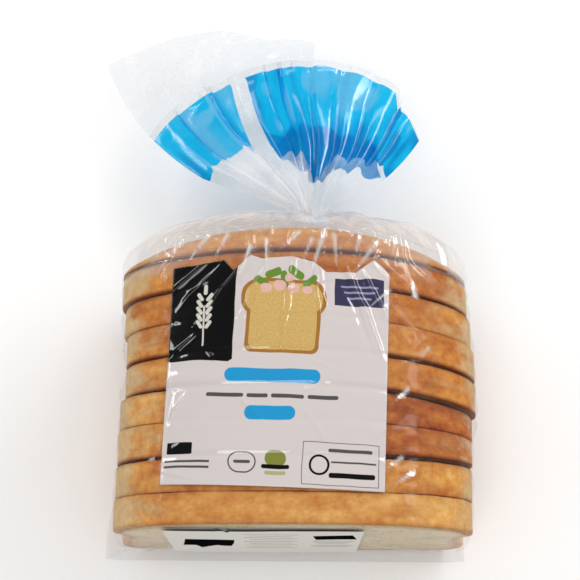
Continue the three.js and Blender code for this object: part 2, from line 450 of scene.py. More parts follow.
def crust_material():
    """Golden brown crust in streaks, cream where the dough broke along the sides, with painted shade at the
    cut edges in the gaps between slices.
    """
    material, tree, shader, _ = new_material("bread_crust")
    mottle = use_group(tree, BREAD_MOTTLE, Vector=object_place(tree), Patch_Scale=95.0, Grain_Scale=900.0)
    wander = math_node(tree, "SUBTRACT", mottle["Patches"], 0.5)
    freckles = math_node(tree, "SUBTRACT", noise_node(tree, object_place(tree), 230.0, 4.0, 0.65), 0.5)
    uneven = math_node(tree, "ADD", math_node(tree, "MULTIPLY", wander, 0.24),
                       math_node(tree, "MULTIPLY", freckles, 0.9))
    tone = math_node(tree, "ADD", named_value(tree, "tone"), uneven)
    brown = colour_ramp(tree, tone, [
        (0.00, srgb(226, 174, 100)), (0.25, srgb(211, 149, 73)), (0.50, srgb(193, 119, 51)),
        (0.75, srgb(168, 88, 36)), (1.00, srgb(134, 58, 23)),
    ])
    pale = math_node(tree, "ADD", named_value(tree, "pale"), math_node(tree, "MULTIPLY", wander, 0.5))
    dough = mix_colour(tree, map_range(tree, freckles, -0.25, 0.25), srgb(211, 179, 131), srgb(193, 156, 106))
    broken = mix_colour(tree, map_range(tree, pale, 0.2, 0.9), brown, dough)
    # Painted shade in the gaps between slices: the crust is multiplied darker and browner near its cut edges.
    edge = math_node(tree, "MULTIPLY", named_value(tree, "edge"), 0.85)
    gap_shaded = mix_colour(tree, edge, broken, mix_colour(tree, 1.0, broken, srgb(152, 86, 52), "MULTIPLY"))
    specks = map_range(tree, mottle["Grain"], 0.58, 0.72)
    speckled = mix_colour(tree, math_node(tree, "MULTIPLY", specks, 0.3), gap_shaded, srgb(132, 72, 32))
    feed(tree, shader.inputs["Base Color"], speckled)
    feed(tree, shader.inputs["Roughness"], map_range(tree, mottle["Grain"], 0.3, 0.7, 0.6, 0.8))
    shader.inputs["Specular IOR Level"].default_value = 0.25
    bump(tree, shader, mottle["Height"], 0.0005, 0.8)
    return material


def crumb_material():
    """Cream crumb with fine open pores and a toasted edge under the crust, with painted shade in its pores
    and deeper holes.
    """
    material, tree, shader, _ = new_material("bread_crumb")
    place = object_place(tree)
    mottle = use_group(tree, BREAD_MOTTLE, Vector=place, Patch_Scale=60.0, Grain_Scale=800.0)
    bend = noise_node(tree, place, 300.0, 2.0)
    bent = vector_math(tree, "ADD", place, scaled(tree, bend, 0.003))
    pores = node(tree, "ShaderNodeTexVoronoi", feature="F1")
    feed(tree, pores.inputs["Vector"], bent)
    pores.inputs["Scale"].default_value = 430.0
    draw = node(tree, "ShaderNodeSeparateColor")
    feed(tree, draw.inputs[0], pores.outputs["Color"])
    reach = math_node(tree, "MULTIPLY", draw.outputs[0], 0.55)
    # Painted shade in the pores: the crumb is painted darker towards each pore's middle, where its bump dips.
    pit = map_range(tree, pores.outputs["Distance"], math_node(tree, "MULTIPLY", reach, 0.35), reach)
    pore_shade_and_grain_mix = math_node(tree, "MULTIPLY", pit, map_range(tree, mottle["Grain"], 0.32, 0.6, 0.6, 1.0))
    colour = mix_colour(tree, pore_shade_and_grain_mix, srgb(172, 144, 100), srgb(212, 194, 156))
    patched = mix_colour(tree, math_node(tree, "MULTIPLY", mottle["Patches"], 0.35), colour,
                         srgb(196, 172, 130))
    # Painted shade in the holes pushed into the crumb's faces.
    hole_shaded = mix_colour(tree, math_node(tree, "MULTIPLY", named_value(tree, "hole"), 0.4), patched,
                       srgb(166, 132, 88))
    feed(tree, shader.inputs["Base Color"],
         mix_colour(tree, named_value(tree, "toast"), hole_shaded, srgb(172, 104, 52)))
    feed(tree, shader.inputs["Roughness"], map_range(tree, mottle["Grain"], 0.3, 0.7, 0.78, 0.95))
    shader.inputs["Specular IOR Level"].default_value = 0.2
    height = math_node(tree, "ADD", pit, math_node(tree, "MULTIPLY", mottle["Height"], 0.8))
    bump(tree, shader, height, 0.0007, 0.9)
    return material


def clear_film(tree, shader, output, haze, film_colour, see_through):
    """Lets the light through the film where it is clear and closes it at a glancing look."""
    glance = node(tree, "ShaderNodeLayerWeight")
    glance.inputs["Blend"].default_value = 0.25
    edge = math_node(tree, "MULTIPLY", math_node(tree, "POWER", glance.outputs["Facing"], 3.0), 0.34)
    cover = math_node(tree, "ADD", haze, edge, clamp=True)
    clear = node(tree, "ShaderNodeBsdfTransparent")
    shadow = math_node(tree, "MULTIPLY", node(tree, "ShaderNodeLightPath").outputs["Is Shadow Ray"], 0.65)
    feed(tree, clear.inputs["Color"], mix_colour(tree, shadow, see_through, (1.0, 1.0, 1.0, 1.0)))
    feed(tree, shader.inputs["Base Color"], film_colour)
    mixed = node(tree, "ShaderNodeMixShader")
    feed(tree, mixed.inputs[0], cover)
    tree.links.new(clear.outputs[0], mixed.inputs[1])
    tree.links.new(shader.outputs[0], mixed.inputs[2])
    tree.links.new(mixed.outputs[0], output.inputs["Surface"])


def set_film_gloss(shader, index, roughness):
    shader.inputs["IOR"].default_value = index
    shader.inputs["Coat Weight"].default_value = 1.0
    shader.inputs["Coat Roughness"].default_value = roughness
    shader.inputs["Coat IOR"].default_value = index


def film_material():
    """Clear glossy film with fine creases, whiter where it is gathered; in the slender folds that whiteness
    is partly a painted highlight.
    """
    material, tree, shader, output = new_material("clear_film")
    creases = use_group(tree, FILM_CREASES, Vector=object_place(tree), Scale=34.0)
    gathered = named_value(tree, "gathered")
    haze = math_node(tree, "ADD", map_range(tree, creases["Haze"], 0.0, 1.0, 0.045, 0.08),
                     math_node(tree, "MULTIPLY", gathered, 0.32))
    colour = mix_colour(tree, map_range(tree, gathered, 0.0, 0.45), (0.34, 0.33, 0.32, 1.0),
                        (0.96, 0.965, 0.97, 1.0))
    clear_film(tree, shader, output, haze, colour, (0.985, 0.986, 0.988, 1.0))
    set_film_gloss(shader, 2.0, 0.06)
    feed(tree, shader.inputs["Roughness"], map_range(tree, creases["Haze"], 0.0, 1.0, 0.08, 0.2))
    bump(tree, shader, creases["Height"], 0.0005, 0.4)
    return material


def printed_film_material():
    """The same film past the neck, with a see-through light blue band round it, and painted highlights and
    shade in streaks along its pleats.
    """
    material, tree, shader, output = new_material("printed_film")
    creases = use_group(tree, FILM_CREASES, Vector=object_place(tree), Scale=30.0)
    band = map_range(tree, named_value(tree, "band"), -0.15, 0.15)
    gathered = named_value(tree, "gathered")
    # Painted light and shade along the pleats: a streak value above 0 paints highlights as paler, hazier
    # film; below 0 it paints pleat shade and the band's deeper double film.
    depth_and_painted_light = named_value(tree, "depth_and_painted_light")
    light = map_range(tree, depth_and_painted_light, 0.15, 0.85)
    deep_and_painted_shade = map_range(tree, depth_and_painted_light, -0.85, -0.15, 1.0, 0.0)
    cloud = noise_node(tree, object_place(tree), 32.0, 3.0, 0.6)
    clear_haze = math_node(tree, "ADD", map_range(tree, cloud, 0.42, 0.62, 0.08, 0.30),
                           math_node(tree, "MULTIPLY", light, 0.22))
    near = map_range(tree, gathered, 0.15, 0.75)
    print_cover = math_node(tree, "ADD", math_node(tree, "MULTIPLY", near, 0.28), 0.34)
    haze = math_node(tree, "ADD", clear_haze, math_node(tree, "MULTIPLY", band, print_cover))
    blue = mix_colour(tree, near, (0.0, 0.50, 0.86, 1.0), (0.0, 0.24, 0.56, 1.0))
    paler = mix_colour(tree, math_node(tree, "MULTIPLY", light, 0.7), blue, (0.20, 0.52, 0.78, 1.0))
    deeper = mix_colour(tree, math_node(tree, "MULTIPLY", deep_and_painted_shade, 0.85), paler, (0.0, 0.22, 0.56, 1.0))
    colour = mix_colour(tree, band, (0.97, 0.975, 0.98, 1.0), deeper)
    clear = mix_colour(tree, map_range(tree, gathered, 0.0, 0.5), (0.90, 0.912, 0.924, 1.0),
                       (0.995, 0.996, 0.997, 1.0))
    deep = math_node(tree, "MAXIMUM", near, math_node(tree, "MULTIPLY", deep_and_painted_shade, 0.8))
    tint = mix_colour(tree, deep, (0.02, 0.58, 0.92, 1.0), (0.01, 0.30, 0.70, 1.0))
    through = mix_colour(tree, band, clear, tint)
    clear_film(tree, shader, output, haze, colour, through)
    set_film_gloss(shader, 1.5, 0.12)
    feed(tree, shader.inputs["Roughness"], map_range(tree, creases["Haze"], 0.0, 1.0, 0.08, 0.2))
    bump(tree, shader, creases["Height"], 0.0005, 0.4)
    return material


# The prints' colours, and how far the crumpled film makes them wander.
PAPER = srgb(211, 202, 199)
CHARCOAL = srgb(11, 11, 13)
NAVY = srgb(58, 56, 84)
BLUE = srgb(32, 150, 205)
GREY_INK = srgb(84, 80, 80)
TOAST = srgb(164, 112, 48)
BREAD = srgb(214, 180, 112)
LEAF = srgb(104, 140, 50)
PINK = srgb(224, 178, 168)
OLIVE = srgb(126, 132, 58)
FOLD_GLINT_WHITE = srgb(236, 234, 230)
CHALK = srgb(208, 204, 192)
PALE_NAVY = srgb(150, 146, 176)
PALE_OLIVE = srgb(172, 170, 120)
CREASE_SHADE_PAPER = srgb(196, 188, 185)
END_PAPER = srgb(214, 211, 204)
DARK_BREAD = srgb(196, 160, 92)
PRINT_WANDER = 1.5
PRINT_WANDER_SCALE = 0.06
# The sheets' UV maps hold their places in tenths of a metre.
UV_UNIT = 100.0
WHEAT_X = -32.5


def label_prints():
    """Plain fields and common shapes, with no lettering, from the lowest to the topmost.

    Each is (colour, centre x, centre y, half width, half height, corner, turn in degrees), in millimetres.
    """
    prints = [(CHARCOAL, -33.8, 27.8, 14.4, 23.0, 0.6, turn) for turn in (2.2, 0.8, -1.0)]
    prints.append((CHALK, WHEAT_X, 20.0, 0.4, 9.0, 0.4, 0.0))
    for pair in range(5):
        for side in (-1, 1):
            prints.append((CHALK, WHEAT_X + 2.0 * side, 20.5 + 3.1 * pair, 0.8, 2.1, 0.8, 34.0 * side))
    prints += [
        (CHALK, WHEAT_X, 36.2, 0.8, 2.3, 0.8, 0.0),
        (TOAST, 2.0, 23.0, 16.0, 14.5, 3.5, 0.0),
        (TOAST, 2.0, 33.0, 18.5, 8.5, 7.5, 0.0),
        (BREAD, 2.0, 23.2, 14.4, 13.2, 2.8, 0.0),
        (BREAD, 2.0, 33.0, 16.9, 7.0, 6.4, 0.0),
    ]
    for x, y, turn in ((-8, 40, 35), (-3, 43.5, -20), (7, 44, 24), (13, 41, -38), (2, 41, 80)):
        prints.append((LEAF, x, y, 3.6, 1.5, 1.4, turn))
    for x, y, size in ((-6, 37, 2.6), (0, 38.5, 2.9), (6, 37.5, 2.5), (12, 37, 2.2), (4, 42, 1.9)):
        prints.append((PINK, x, y, size, size * 0.8, size * 0.75, 0.0))
    prints.append((NAVY, 34.8, 37.0, 10.8, 6.3, 0.2, 0.0))
    for row in range(3):
        prints.append((PALE_NAVY, 34.8, 39.6 - 2.6 * row, 8.2 - 1.4 * row, 0.45, 0.4, 0.0))
    prints += [
        (BLUE, -1.5, -1.5, 20.6, 3.0, 2.9, 0.0),
        (BLUE, -1.8, -17.7, 10.8, 3.0, 2.9, 0.0),
    ]
    for centre, half in ((-21.5, 8.0), (-7.5, 4.6), (5.5, 7.0), (20.5, 6.5)):
        prints.append((GREY_INK, centre, -10.4, half, 0.85, 0.8, 0.0))
    prints.append((CHARCOAL, -40.0, -33.5, 5.6, 2.5, 0.5, 0.0))
    for row in range(2):
        prints.append((GREY_INK, -36.5, -39.2 - 2.4 * row, 9.8, 0.5, 0.4, 0.0))
    prints += [
        (GREY_INK, -12.8, -39.0, 5.8, 4.6, 4.5, 0.0),
        (PAPER, -12.8, -39.0, 5.2, 4.0, 3.9, 0.0),
        (GREY_INK, -12.8, -39.0, 3.4, 0.7, 0.6, 0.0),
        (OLIVE, 1.4, -37.0, 4.6, 3.4, 3.3, 0.0),
        (CHARCOAL, 1.4, -40.6, 6.0, 0.9, 0.8, 0.0),
        (PALE_OLIVE, 1.4, -43.2, 4.4, 0.8, 0.7, 0.0),
        (GREY_INK, 29.0, -38.5, 16.4, 9.2, 0.3, 0.0),
        (PAPER, 29.0, -38.5, 16.1, 8.9, 0.2, 0.0),
        (CHARCOAL, 20.0, -39.0, 4.4, 4.4, 4.3, 0.0),
        (PAPER, 20.0, -39.0, 3.4, 3.4, 3.3, 0.0),
        (GREY_INK, 33.0, -32.6, 9.4, 0.7, 0.6, 0.0),
        (GREY_INK, 34.5, -37.6, 9.6, 0.4, 0.3, 0.0),
        (CHARCOAL, 34.0, -43.2, 9.8, 1.1, 0.9, 0.0),
    ]
    return prints


def end_prints():
    """The printed table on the bag's closed end: blocks and rows of bars on white."""
    prints = [(CHARCOAL, -25.0, -3.0, 11.0, 11.5, 0.3, 6.0), (CHARCOAL, 31.0, 17.0, 9.0, 7.0, 0.3, -8.0)]
    for row in range(9):
        prints.append((GREY_INK, 3.0, 27.0 - 6.2 * row, 12.0 - (row % 2) * 2.5, 0.4, 0.3, 0.0))
    for row in range(5):
        prints.append((GREY_INK, 30.5, 4.0 - 5.6 * row, 9.5 - (row % 3) * 1.6, 0.5, 0.4, 0.0))
    return prints


def print_material(name, prints, paper, gloss, shine):
    """Print under glossy film: each shape is laid over the one before it, and whiter film over them all,
    partly a painted highlight in the folds; crease crests get a little painted shade.
    """
    material, tree, shader, _ = new_material(name)
    uv = node(tree, "ShaderNodeUVMap", uv_map="film_place").outputs[0]
    flat = scaled(tree, uv, UV_UNIT)
    wander = node(tree, "ShaderNodeTexNoise")
    feed(tree, wander.inputs["Vector"], flat)
    wander.inputs["Scale"].default_value = PRINT_WANDER_SCALE
    wander.inputs["Detail"].default_value = 1.0
    centred = vector_math(tree, "SUBTRACT", wander.outputs["Color"], (0.5, 0.5, 0.5))
    off = vector_math(tree, "MULTIPLY", centred, (PRINT_WANDER, PRINT_WANDER, 0.0))
    place = vector_math(tree, "ADD", flat, off)
    creases = use_group(tree, FILM_CREASES, Vector=object_place(tree), Scale=26.0)
    # Painted crease shade: the paper is a little darker on the crests of the film's creases.
    colour = mix_colour(tree, math_node(tree, "MULTIPLY", creases["Haze"], 0.08), paper, CREASE_SHADE_PAPER)
    for ink, x, y, half_width, half_height, corner, turn in prints:
        mask = use_group(
            tree, PRINT_BOX, Place=place, Centre=(x, y, 0.0), Half_Size=(half_width, half_height, 1.0),
            Corner=corner, Turn=math.radians(turn),
        )["Mask"]
        if ink == BREAD:
            crumbs = map_range(tree, noise_node(tree, place, 1.3, 4.0, 0.7), 0.35, 0.65)
            ink = mix_colour(tree, crumbs, DARK_BREAD, BREAD)
        colour = mix_colour(tree, mask, colour, ink)
    # Painted highlight in the folds, partly whiter doubled film: the print is mixed towards white there.
    doubled_film_and_glint = math_node(tree, "MULTIPLY", named_value(tree, "fold"), 0.65)
    feed(tree, shader.inputs["Base Color"], mix_colour(tree, doubled_film_and_glint, colour, FOLD_GLINT_WHITE))
    feed(tree, shader.inputs["Roughness"], map_range(tree, creases["Haze"], 0.0, 1.0, 0.4, 0.5))
    shader.inputs["Specular IOR Level"].default_value = shine
    shader.inputs["Coat Weight"].default_value = gloss
    shader.inputs["Coat Roughness"].default_value = 0.06
    shader.inputs["Coat IOR"].default_value = 1.8
    bump(tree, shader, creases["Height"], 0.0004, 0.15)
    return material


# The slices.


def slice_outline(count):
    """A slice's closed outline: flat base, sides that break inwards under the dome, and the dome."""
    top = DOME_HEIGHT - FILM_CLEARANCE
    bulge = BULGE_HALF_WIDTH - FILM_CLEARANCE
    bulge_height = BULGE_HEIGHT + 4.0
    notch = (bulge - SLICE_NOTCH, 48.0)
    side = BULGE_HALF_WIDTH
    low = SLICE_BASE
    right = np.vstack([
        bezier((0, low), (22, low), (44, low), (BASE_HALF_WIDTH, low)),
        bezier((BASE_HALF_WIDTH, low), (76, low), (side, 6), (side, 15)),
        bezier((side, 15), (side, 30), (notch[0], 38), notch),
        bezier(notch, (notch[0], 54), (bulge, 54), (bulge, bulge_height)),
        bezier((bulge, bulge_height), (bulge, lerp(bulge_height, top, DOME_ROUNDNESS)),
               (bulge * DOME_ROUNDNESS, top), (0, top)),
    ])
    return mirrored(resample(right, np.linspace(0.0, 1.0, count // 2 + 1)))


def slice_spans():
    """The stretch along the loaf that each slice takes, from its near end to its far one, and its shift."""
    spans = []
    near = LOAF_LENGTH / 2
    for index, shift in enumerate(SLICE_SHIFTS):
        spans.append((near, near - SLICE_PITCH, shift))
        near -= SLICE_PITCH + (SLICE_GAPS[index] if index < len(SLICE_GAPS) else 0.0)
    return spans


SPANS = slice_spans()


def slice_mesh(index, columns, face_rings):
    """One slice: a rounded crust rim between two cut faces, or one for the heel."""
    near, far, shift = SPANS[index]
    heel = index == 0
    last_slice = index == SLICE_COUNT - 1
    open_near = not heel and SLICE_GAPS[index - 1] > OPEN_GAP
    open_far = not last_slice and SLICE_GAPS[index] > OPEN_GAP
    if heel:
        near -= FILM_CLEARANCE
    elif open_near:
        near -= GAP_OPENING
    if last_slice:
        far += FILM_CLEARANCE
    elif open_far:
        far += GAP_OPENING
    outline = slice_outline(columns)
    normals = outline_normals(outline)
    rim_turns = np.linspace(0.0, math.pi / 2, 4)
    near_round = HEEL_ROUNDING if heel else SLICE_EDGE
    near_turns = np.linspace(0.0, math.pi / 2, 12) if heel else rim_turns
    profile = [(near_round * (1 - math.sin(turn)), near - near_round * (1 - math.cos(turn)))
               for turn in near_turns]
    for share in np.linspace(0.0, 1.0, 12)[1:-1]:
        profile.append((0.0, lerp(near - near_round, far + SLICE_EDGE, share)))
    profile += [(SLICE_EDGE * (1 - math.cos(turn)), far + SLICE_EDGE * (1 - math.sin(turn)))
                for turn in rim_turns]
    middle = np.array(SLICE_MIDDLE)
    rings = []
    crumb = []
    toast = []
    gap_shades = []

    def gap_shade_share(y):
        """Painted shade in the gaps: how much darker and browner the crust is painted at a cut edge, most
        where a gap is open.
        """
        at_near = (0.6 if open_near else 0.25) * (not heel) * smoothstep(y, near - 1.6, near)
        at_far = (1.0 if open_far else 0.35) * (1.0 - smoothstep(y, far, far + 1.9))
        return float(max(at_near, at_far))

    def add_ring(flat, y, is_crumb, toasted):
        lift = smoothstep(flat[:, 1], SLICE_BASE, CORNER_RADIUS)
        back = lean_back(flat[:, 0], y)
        to_near = smoothstep(y, far, near)
        if not last_slice:
            closing = GAP_CLOSING * SLICE_GAPS[index] * (1.0 - to_near)
            back = back + closing * smoothstep(-flat[:, 0], 15.0, 55.0)
        if heel:
            back = back + HEEL_BOW * to_near * (flat[:, 0] / LEAN_HALF_WIDTH) ** 2
        rings.append(np.stack([flat[:, 0] + shift * lift, y - back, flat[:, 1]], axis=1))
        crumb.extend([is_crumb] * columns)
        toast.extend([toasted] * columns)
        gap_shades.extend([gap_shade_share(y)] * columns)

    shares = 1.0 - np.linspace(0.0, 1.0, face_rings + 1)[1:-1]
    crust_share = 1.0 - CRUST_THICKNESS / FACE_REACH
    near_crumb = 0.0 if heel else 1.0
    near_face = outline - normals * profile[0][0]
    for share in shares[::-1]:
        add_ring(middle + (near_face - middle) * share * crust_share, near, near_crumb, 0.0)
    add_ring(middle + (near_face - middle) * crust_share, near, near_crumb, TOASTED_RIM)
    for inset, y in profile:
        add_ring(outline - normals * inset, y, 0.0, 1.0)
    far_face = outline - normals * profile[-1][0]
    add_ring(middle + (far_face - middle) * crust_share, far, 1.0, TOASTED_RIM)
    for share in shares:
        toasted = TOASTED_RIM * math.exp(-(1.0 - share) * FACE_REACH / TOASTED_DEPTH)
        add_ring(middle + (far_face - middle) * share * crust_share, far, 1.0, toasted)
    poles = [(middle[0] + shift, y, middle[1]) for y in (near, far)]
    vertices = np.vstack(rings + [poles])
    faces = grid_faces(len(rings), columns, True)
    near_pole = len(vertices) - 2
    far_pole = len(vertices) - 1
    last = (len(rings) - 1) * columns
    for column in range(columns):
        after = (column + 1) % columns
        faces.append((near_pole, after, column))
        faces.append((far_pole, last + column, last + after))
    piece = mesh_piece(f"slice_{index + 1}", vertices, faces)
    point_faces_out(piece)
    point_values(piece, "crumb", crumb + [near_crumb, 1.0])
    point_values(piece, "toast", toast + [0.0, 0.0])
    # The edge attribute holds the painted shade of the gaps between slices.
    point_values(piece, "edge", gap_shades + [0.0, 0.0])
    point_values(piece, "tone", crust_tone(index, vertices))
    point_values(piece, "pale", crust_pale(index, vertices))
    return piece


def crust_tone(index, vertices):
    """How brown the crust is, from 0 to 1: it differs between slices and along each one."""
    x, y, z = np.asarray(vertices).T
    tone = lerp(TONES_LEFT[index], TONES_RIGHT[index], smoothstep(x, -60.0, 60.0))
    drawn = np.stack([x / 3.2, y, z / 3.2], axis=-1)
    tone = tone + 0.13 * value_noise(drawn, 6.5, 41 + index) + 0.07 * value_noise(drawn, 2.6, 61 + index)
    under = 1.0 - smoothstep(z, 2.0, 8.0)
    low_side = smoothstep(z, 8.0, 20.0) * (1.0 - smoothstep(z, 40.0, 60.0))
    return tone + 0.4 * under - 0.2 * low_side


def crust_pale(index, vertices):
    """Where the dough broke and stayed pale: along the sides below the dome."""
    x, y, z = np.asarray(vertices).T
    uneven = z + 8.0 * value_noise(vertices, 15.0, 81 + index) + 4.0 * value_noise(vertices, 5.0, 91)
    broken = smoothstep(uneven, 26.0, 42.0) * (1.0 - smoothstep(uneven, 68.0, 95.0))
    broken = broken * lerp(1.0, 0.62, smoothstep(x, -20.0, 40.0) * smoothstep(index, 1.0, 5.0))
    if index == 0:
        at_end = smoothstep(y + lean_back(x, y), LOAF_LENGTH / 2 - HEEL_ROUNDING, LOAF_LENGTH / 2 - 2.0)
        broken = lerp(broken, 0.35 + 0.2 * value_noise(vertices, 25.0, 7), at_end)
        broken = np.maximum(broken, 0.7 * smoothstep(np.abs(x), 38.0, 72.0))
    return broken


def bread_relief_tree():
    """Roughens a slice: shallow lumps on its crust, and round and long holes in its cut faces."""
    material = "NodeSocketMaterial"
    tree, given, out = new_group(
        "bread_relief",
        [("Geometry", "NodeSocketGeometry", None), ("Shift", VECTOR, None), ("Lump Height", FLOAT, 0.0004),
         ("Hole Depth", FLOAT, 0.002), ("Crust", material, None), ("Crumb", material, None)],
        [("Geometry", "NodeSocketGeometry")],
        "GeometryNodeTree",
    )
    crumb = node(tree, "GeometryNodeInputNamedAttribute", data_type="FLOAT")
    crumb.inputs["Name"].default_value = "crumb"
    is_crumb = crumb.outputs["Attribute"]
    place = vector_math(tree, "ADD", node(tree, "GeometryNodeInputPosition").outputs[0], given["Shift"])
    lumps = noise_node(tree, place, 70.0, 3.0, 0.6)
    lump = math_node(tree, "MULTIPLY", math_node(tree, "SUBTRACT", lumps, 0.5), given["Lump Height"])
    crust_push = math_node(tree, "MULTIPLY", math_node(tree, "MULTIPLY", lump, 2.0),
                           math_node(tree, "SUBTRACT", 1.0, is_crumb))
    stretched = vector_math(tree, "MULTIPLY", place, (105.0, 60.0, 165.0))
    bend = noise_node(tree, place, 40.0, 1.0)
    bent = vector_math(tree, "ADD", stretched, scaled(tree, bend, 1.6))
    holes = node(tree, "ShaderNodeTexVoronoi", feature="F1")
    feed(tree, holes.inputs["Vector"], bent)
    holes.inputs["Scale"].default_value = 1.0
    draw = node(tree, "FunctionNodeSeparateColor")
    feed(tree, draw.inputs[0], holes.outputs["Color"])
    chosen = math_node(tree, "GREATER_THAN", draw.outputs[0], 0.62)
    width = math_node(tree, "ADD", math_node(tree, "MULTIPLY", draw.outputs[1], 0.22), 0.14)
    floor_width = math_node(tree, "MULTIPLY", width, 0.55)
    dip = map_range(tree, holes.outputs["Distance"], floor_width, width, 1.0, 0.0)
    hole = math_node(tree, "MULTIPLY", math_node(tree, "MULTIPLY", dip, chosen), is_crumb)
    fine = noise_node(tree, place, 420.0, 2.0, 0.6)
    fine_push = math_node(tree, "MULTIPLY", math_node(tree, "SUBTRACT", fine, 0.5),
                          math_node(tree, "MULTIPLY", is_crumb, 0.0007))
    push = math_node(tree, "SUBTRACT", math_node(tree, "ADD", crust_push, fine_push),
                     math_node(tree, "MULTIPLY", hole, given["Hole Depth"]))
    offset = scaled(tree, node(tree, "GeometryNodeInputNormal").outputs[0], push)
    stored = node(tree, "GeometryNodeStoreNamedAttribute", data_type="FLOAT", domain="POINT")
    stored.inputs["Name"].default_value = "hole"
    feed(tree, stored.inputs["Geometry"], given["Geometry"])
    feed(tree, stored.inputs["Value"], hole)
    moved = node(tree, "GeometryNodeSetPosition")
    feed(tree, moved.inputs["Geometry"], stored.outputs[0])
    feed(tree, moved.inputs["Offset"], offset)
    real = node(tree, "GeometryNodeRealizeInstances")
    feed(tree, real.inputs[0], moved.outputs[0])
    crusted = node(tree, "GeometryNodeSetMaterial")
    feed(tree, crusted.inputs["Geometry"], real.outputs[0])
    feed(tree, crusted.inputs["Material"], given["Crust"])
    cut = node(tree, "GeometryNodeSetMaterial")
    feed(tree, cut.inputs["Geometry"], crusted.outputs[0])
    feed(tree, cut.inputs["Selection"], math_node(tree, "GREATER_THAN", is_crumb, 0.9))
    feed(tree, cut.inputs["Material"], given["Crumb"])
    feed(tree, out["Geometry"], cut.outputs[0])
    return tree


def apply_tree(piece, tree, **values):
    """Runs a geometry node tree on a piece and keeps the result as its plain mesh."""
    modifier = piece.modifiers.new("shape", "NODES")
    modifier.node_group = tree
    for name, value in values.items():
        modifier[socket_id(tree, name.replace("_", " "))] = value
    depsgraph = bpy.context.evaluated_depsgraph_get()
    made = bpy.data.meshes.new_from_object(piece.evaluated_get(depsgraph))
    piece.modifiers.remove(modifier)
    piece.data = made
    made.name = piece.name


def make_slices(crust, crumb):
    """The nine slices, of which only the last one shows its cut face, through the closed end."""
    tree = bread_relief_tree()
    pieces = []
    for index in range(SLICE_COUNT):
        shown_face = index == SLICE_COUNT - 1
        piece = slice_mesh(index, *(SHOWN_GRID if shown_face else HIDDEN_GRID))
        apply_tree(piece, tree, Shift=(0.11 * index, 0.07 * index, 0.0), Lump_Height=CRUST_LUMPS,
                   Hole_Depth=SHOWN_HOLES if shown_face else HIDDEN_HOLES, Crust=crust, Crumb=crumb)
        pieces.append(piece)
    return pieces


# The film round the loaf.


def film_right_half():
    """The right half of the film's loop: flat base, round corner, and the side that bulges into the dome."""
    side = BULGE_HALF_WIDTH
    corner = np.linspace(-math.pi / 2, 0.0, 40)[:, None]
    centre = np.array([BASE_HALF_WIDTH, CORNER_RADIUS])
    arc = centre + CORNER_RADIUS * np.hstack([np.cos(corner), np.sin(corner)])
    path = np.vstack([
        [(0.0, 0.0)],
        arc,
        bezier((side, BULGE_HEIGHT), (side, lerp(BULGE_HEIGHT, DOME_HEIGHT, DOME_ROUNDNESS)),
               (side * DOME_ROUNDNESS, DOME_HEIGHT), (0, DOME_HEIGHT)),
    ])
    return resample(path, np.linspace(0.0, 1.0, 1500))


FILM_LOOP = mirrored(film_right_half())
FILM_NORMALS = outline_normals(FILM_LOOP)
FILM_LENGTHS = arc_lengths(np.vstack([FILM_LOOP, FILM_LOOP[:1]]))
FILM_ROUND = FILM_LENGTHS[-1]


def loop_value(values, around):
    """A value of the film's loop at a signed distance from the top of the dome, positive to the right."""
    wanted = (FILM_ROUND / 2 - np.asarray(around)) % FILM_ROUND
    return np.interp(wanted, FILM_LENGTHS, np.append(values, values[0]))


def widest_shift(y, side):
    """How far the film is pushed aside by the slices near a place along the loaf."""
    places = np.linspace(-90.0, 90.0, 361)
    reach = 7.0
    pushed = np.empty_like(places)
    for index, place in enumerate(places):
        near = [shift for start, end, shift in SPANS if end - reach < place < start + reach]
        near = near or [SPANS[0][2] if place > 0 else SPANS[-1][2]]
        pushed[index] = max(near) if side > 0 else min(near)
    kernel = np.exp(-np.linspace(-2.0, 2.0, 17) ** 2)
    padded = np.pad(pushed, 8, mode="edge")
    return np.interp(y, places, np.convolve(padded, kernel / kernel.sum(), mode="valid"))


def line_place(x, y, start, end):
    """Places along a line, as shares of its length, and their distances off it, positive to its right."""
    start = np.array(start, float)
    along = np.array(end, float) - start
    length = np.linalg.norm(along)
    along = along / length
    run = ((x - start[0]) * along[0] + (y - start[1]) * along[1]) / length
    return run, (x - start[0]) * along[1] - (y - start[1]) * along[0]


def ridge(x, y, start, end, height, width):
    """A sharp fold along a line, highest in its middle, with a shallow valley on one side."""
    run, off = line_place(x, y, start, end)
    taper = np.clip(np.sin(math.pi * np.clip(run, 0.0, 1.0)), 0.0, 1.0) ** 0.7
    crest = np.maximum(0.0, 1.0 - np.abs(off) / width) ** 1.6
    valley = np.exp(-((off - 1.7 * width) / width) ** 2)
    return height * taper * (crest - 0.3 * valley)


def tent(x, y, start, end, width, slope):
    """A slender fold with even sides, wide at its start and pointed at its end."""
    run, off = line_place(x, y, start, end)
    inside = np.clip(run, 0.0, 1.0)
    reach = width * smoothstep(run, 0.0, 0.14) * (1.0 - inside) ** 0.8
    return slope * np.maximum(0.0, reach - np.abs(off))


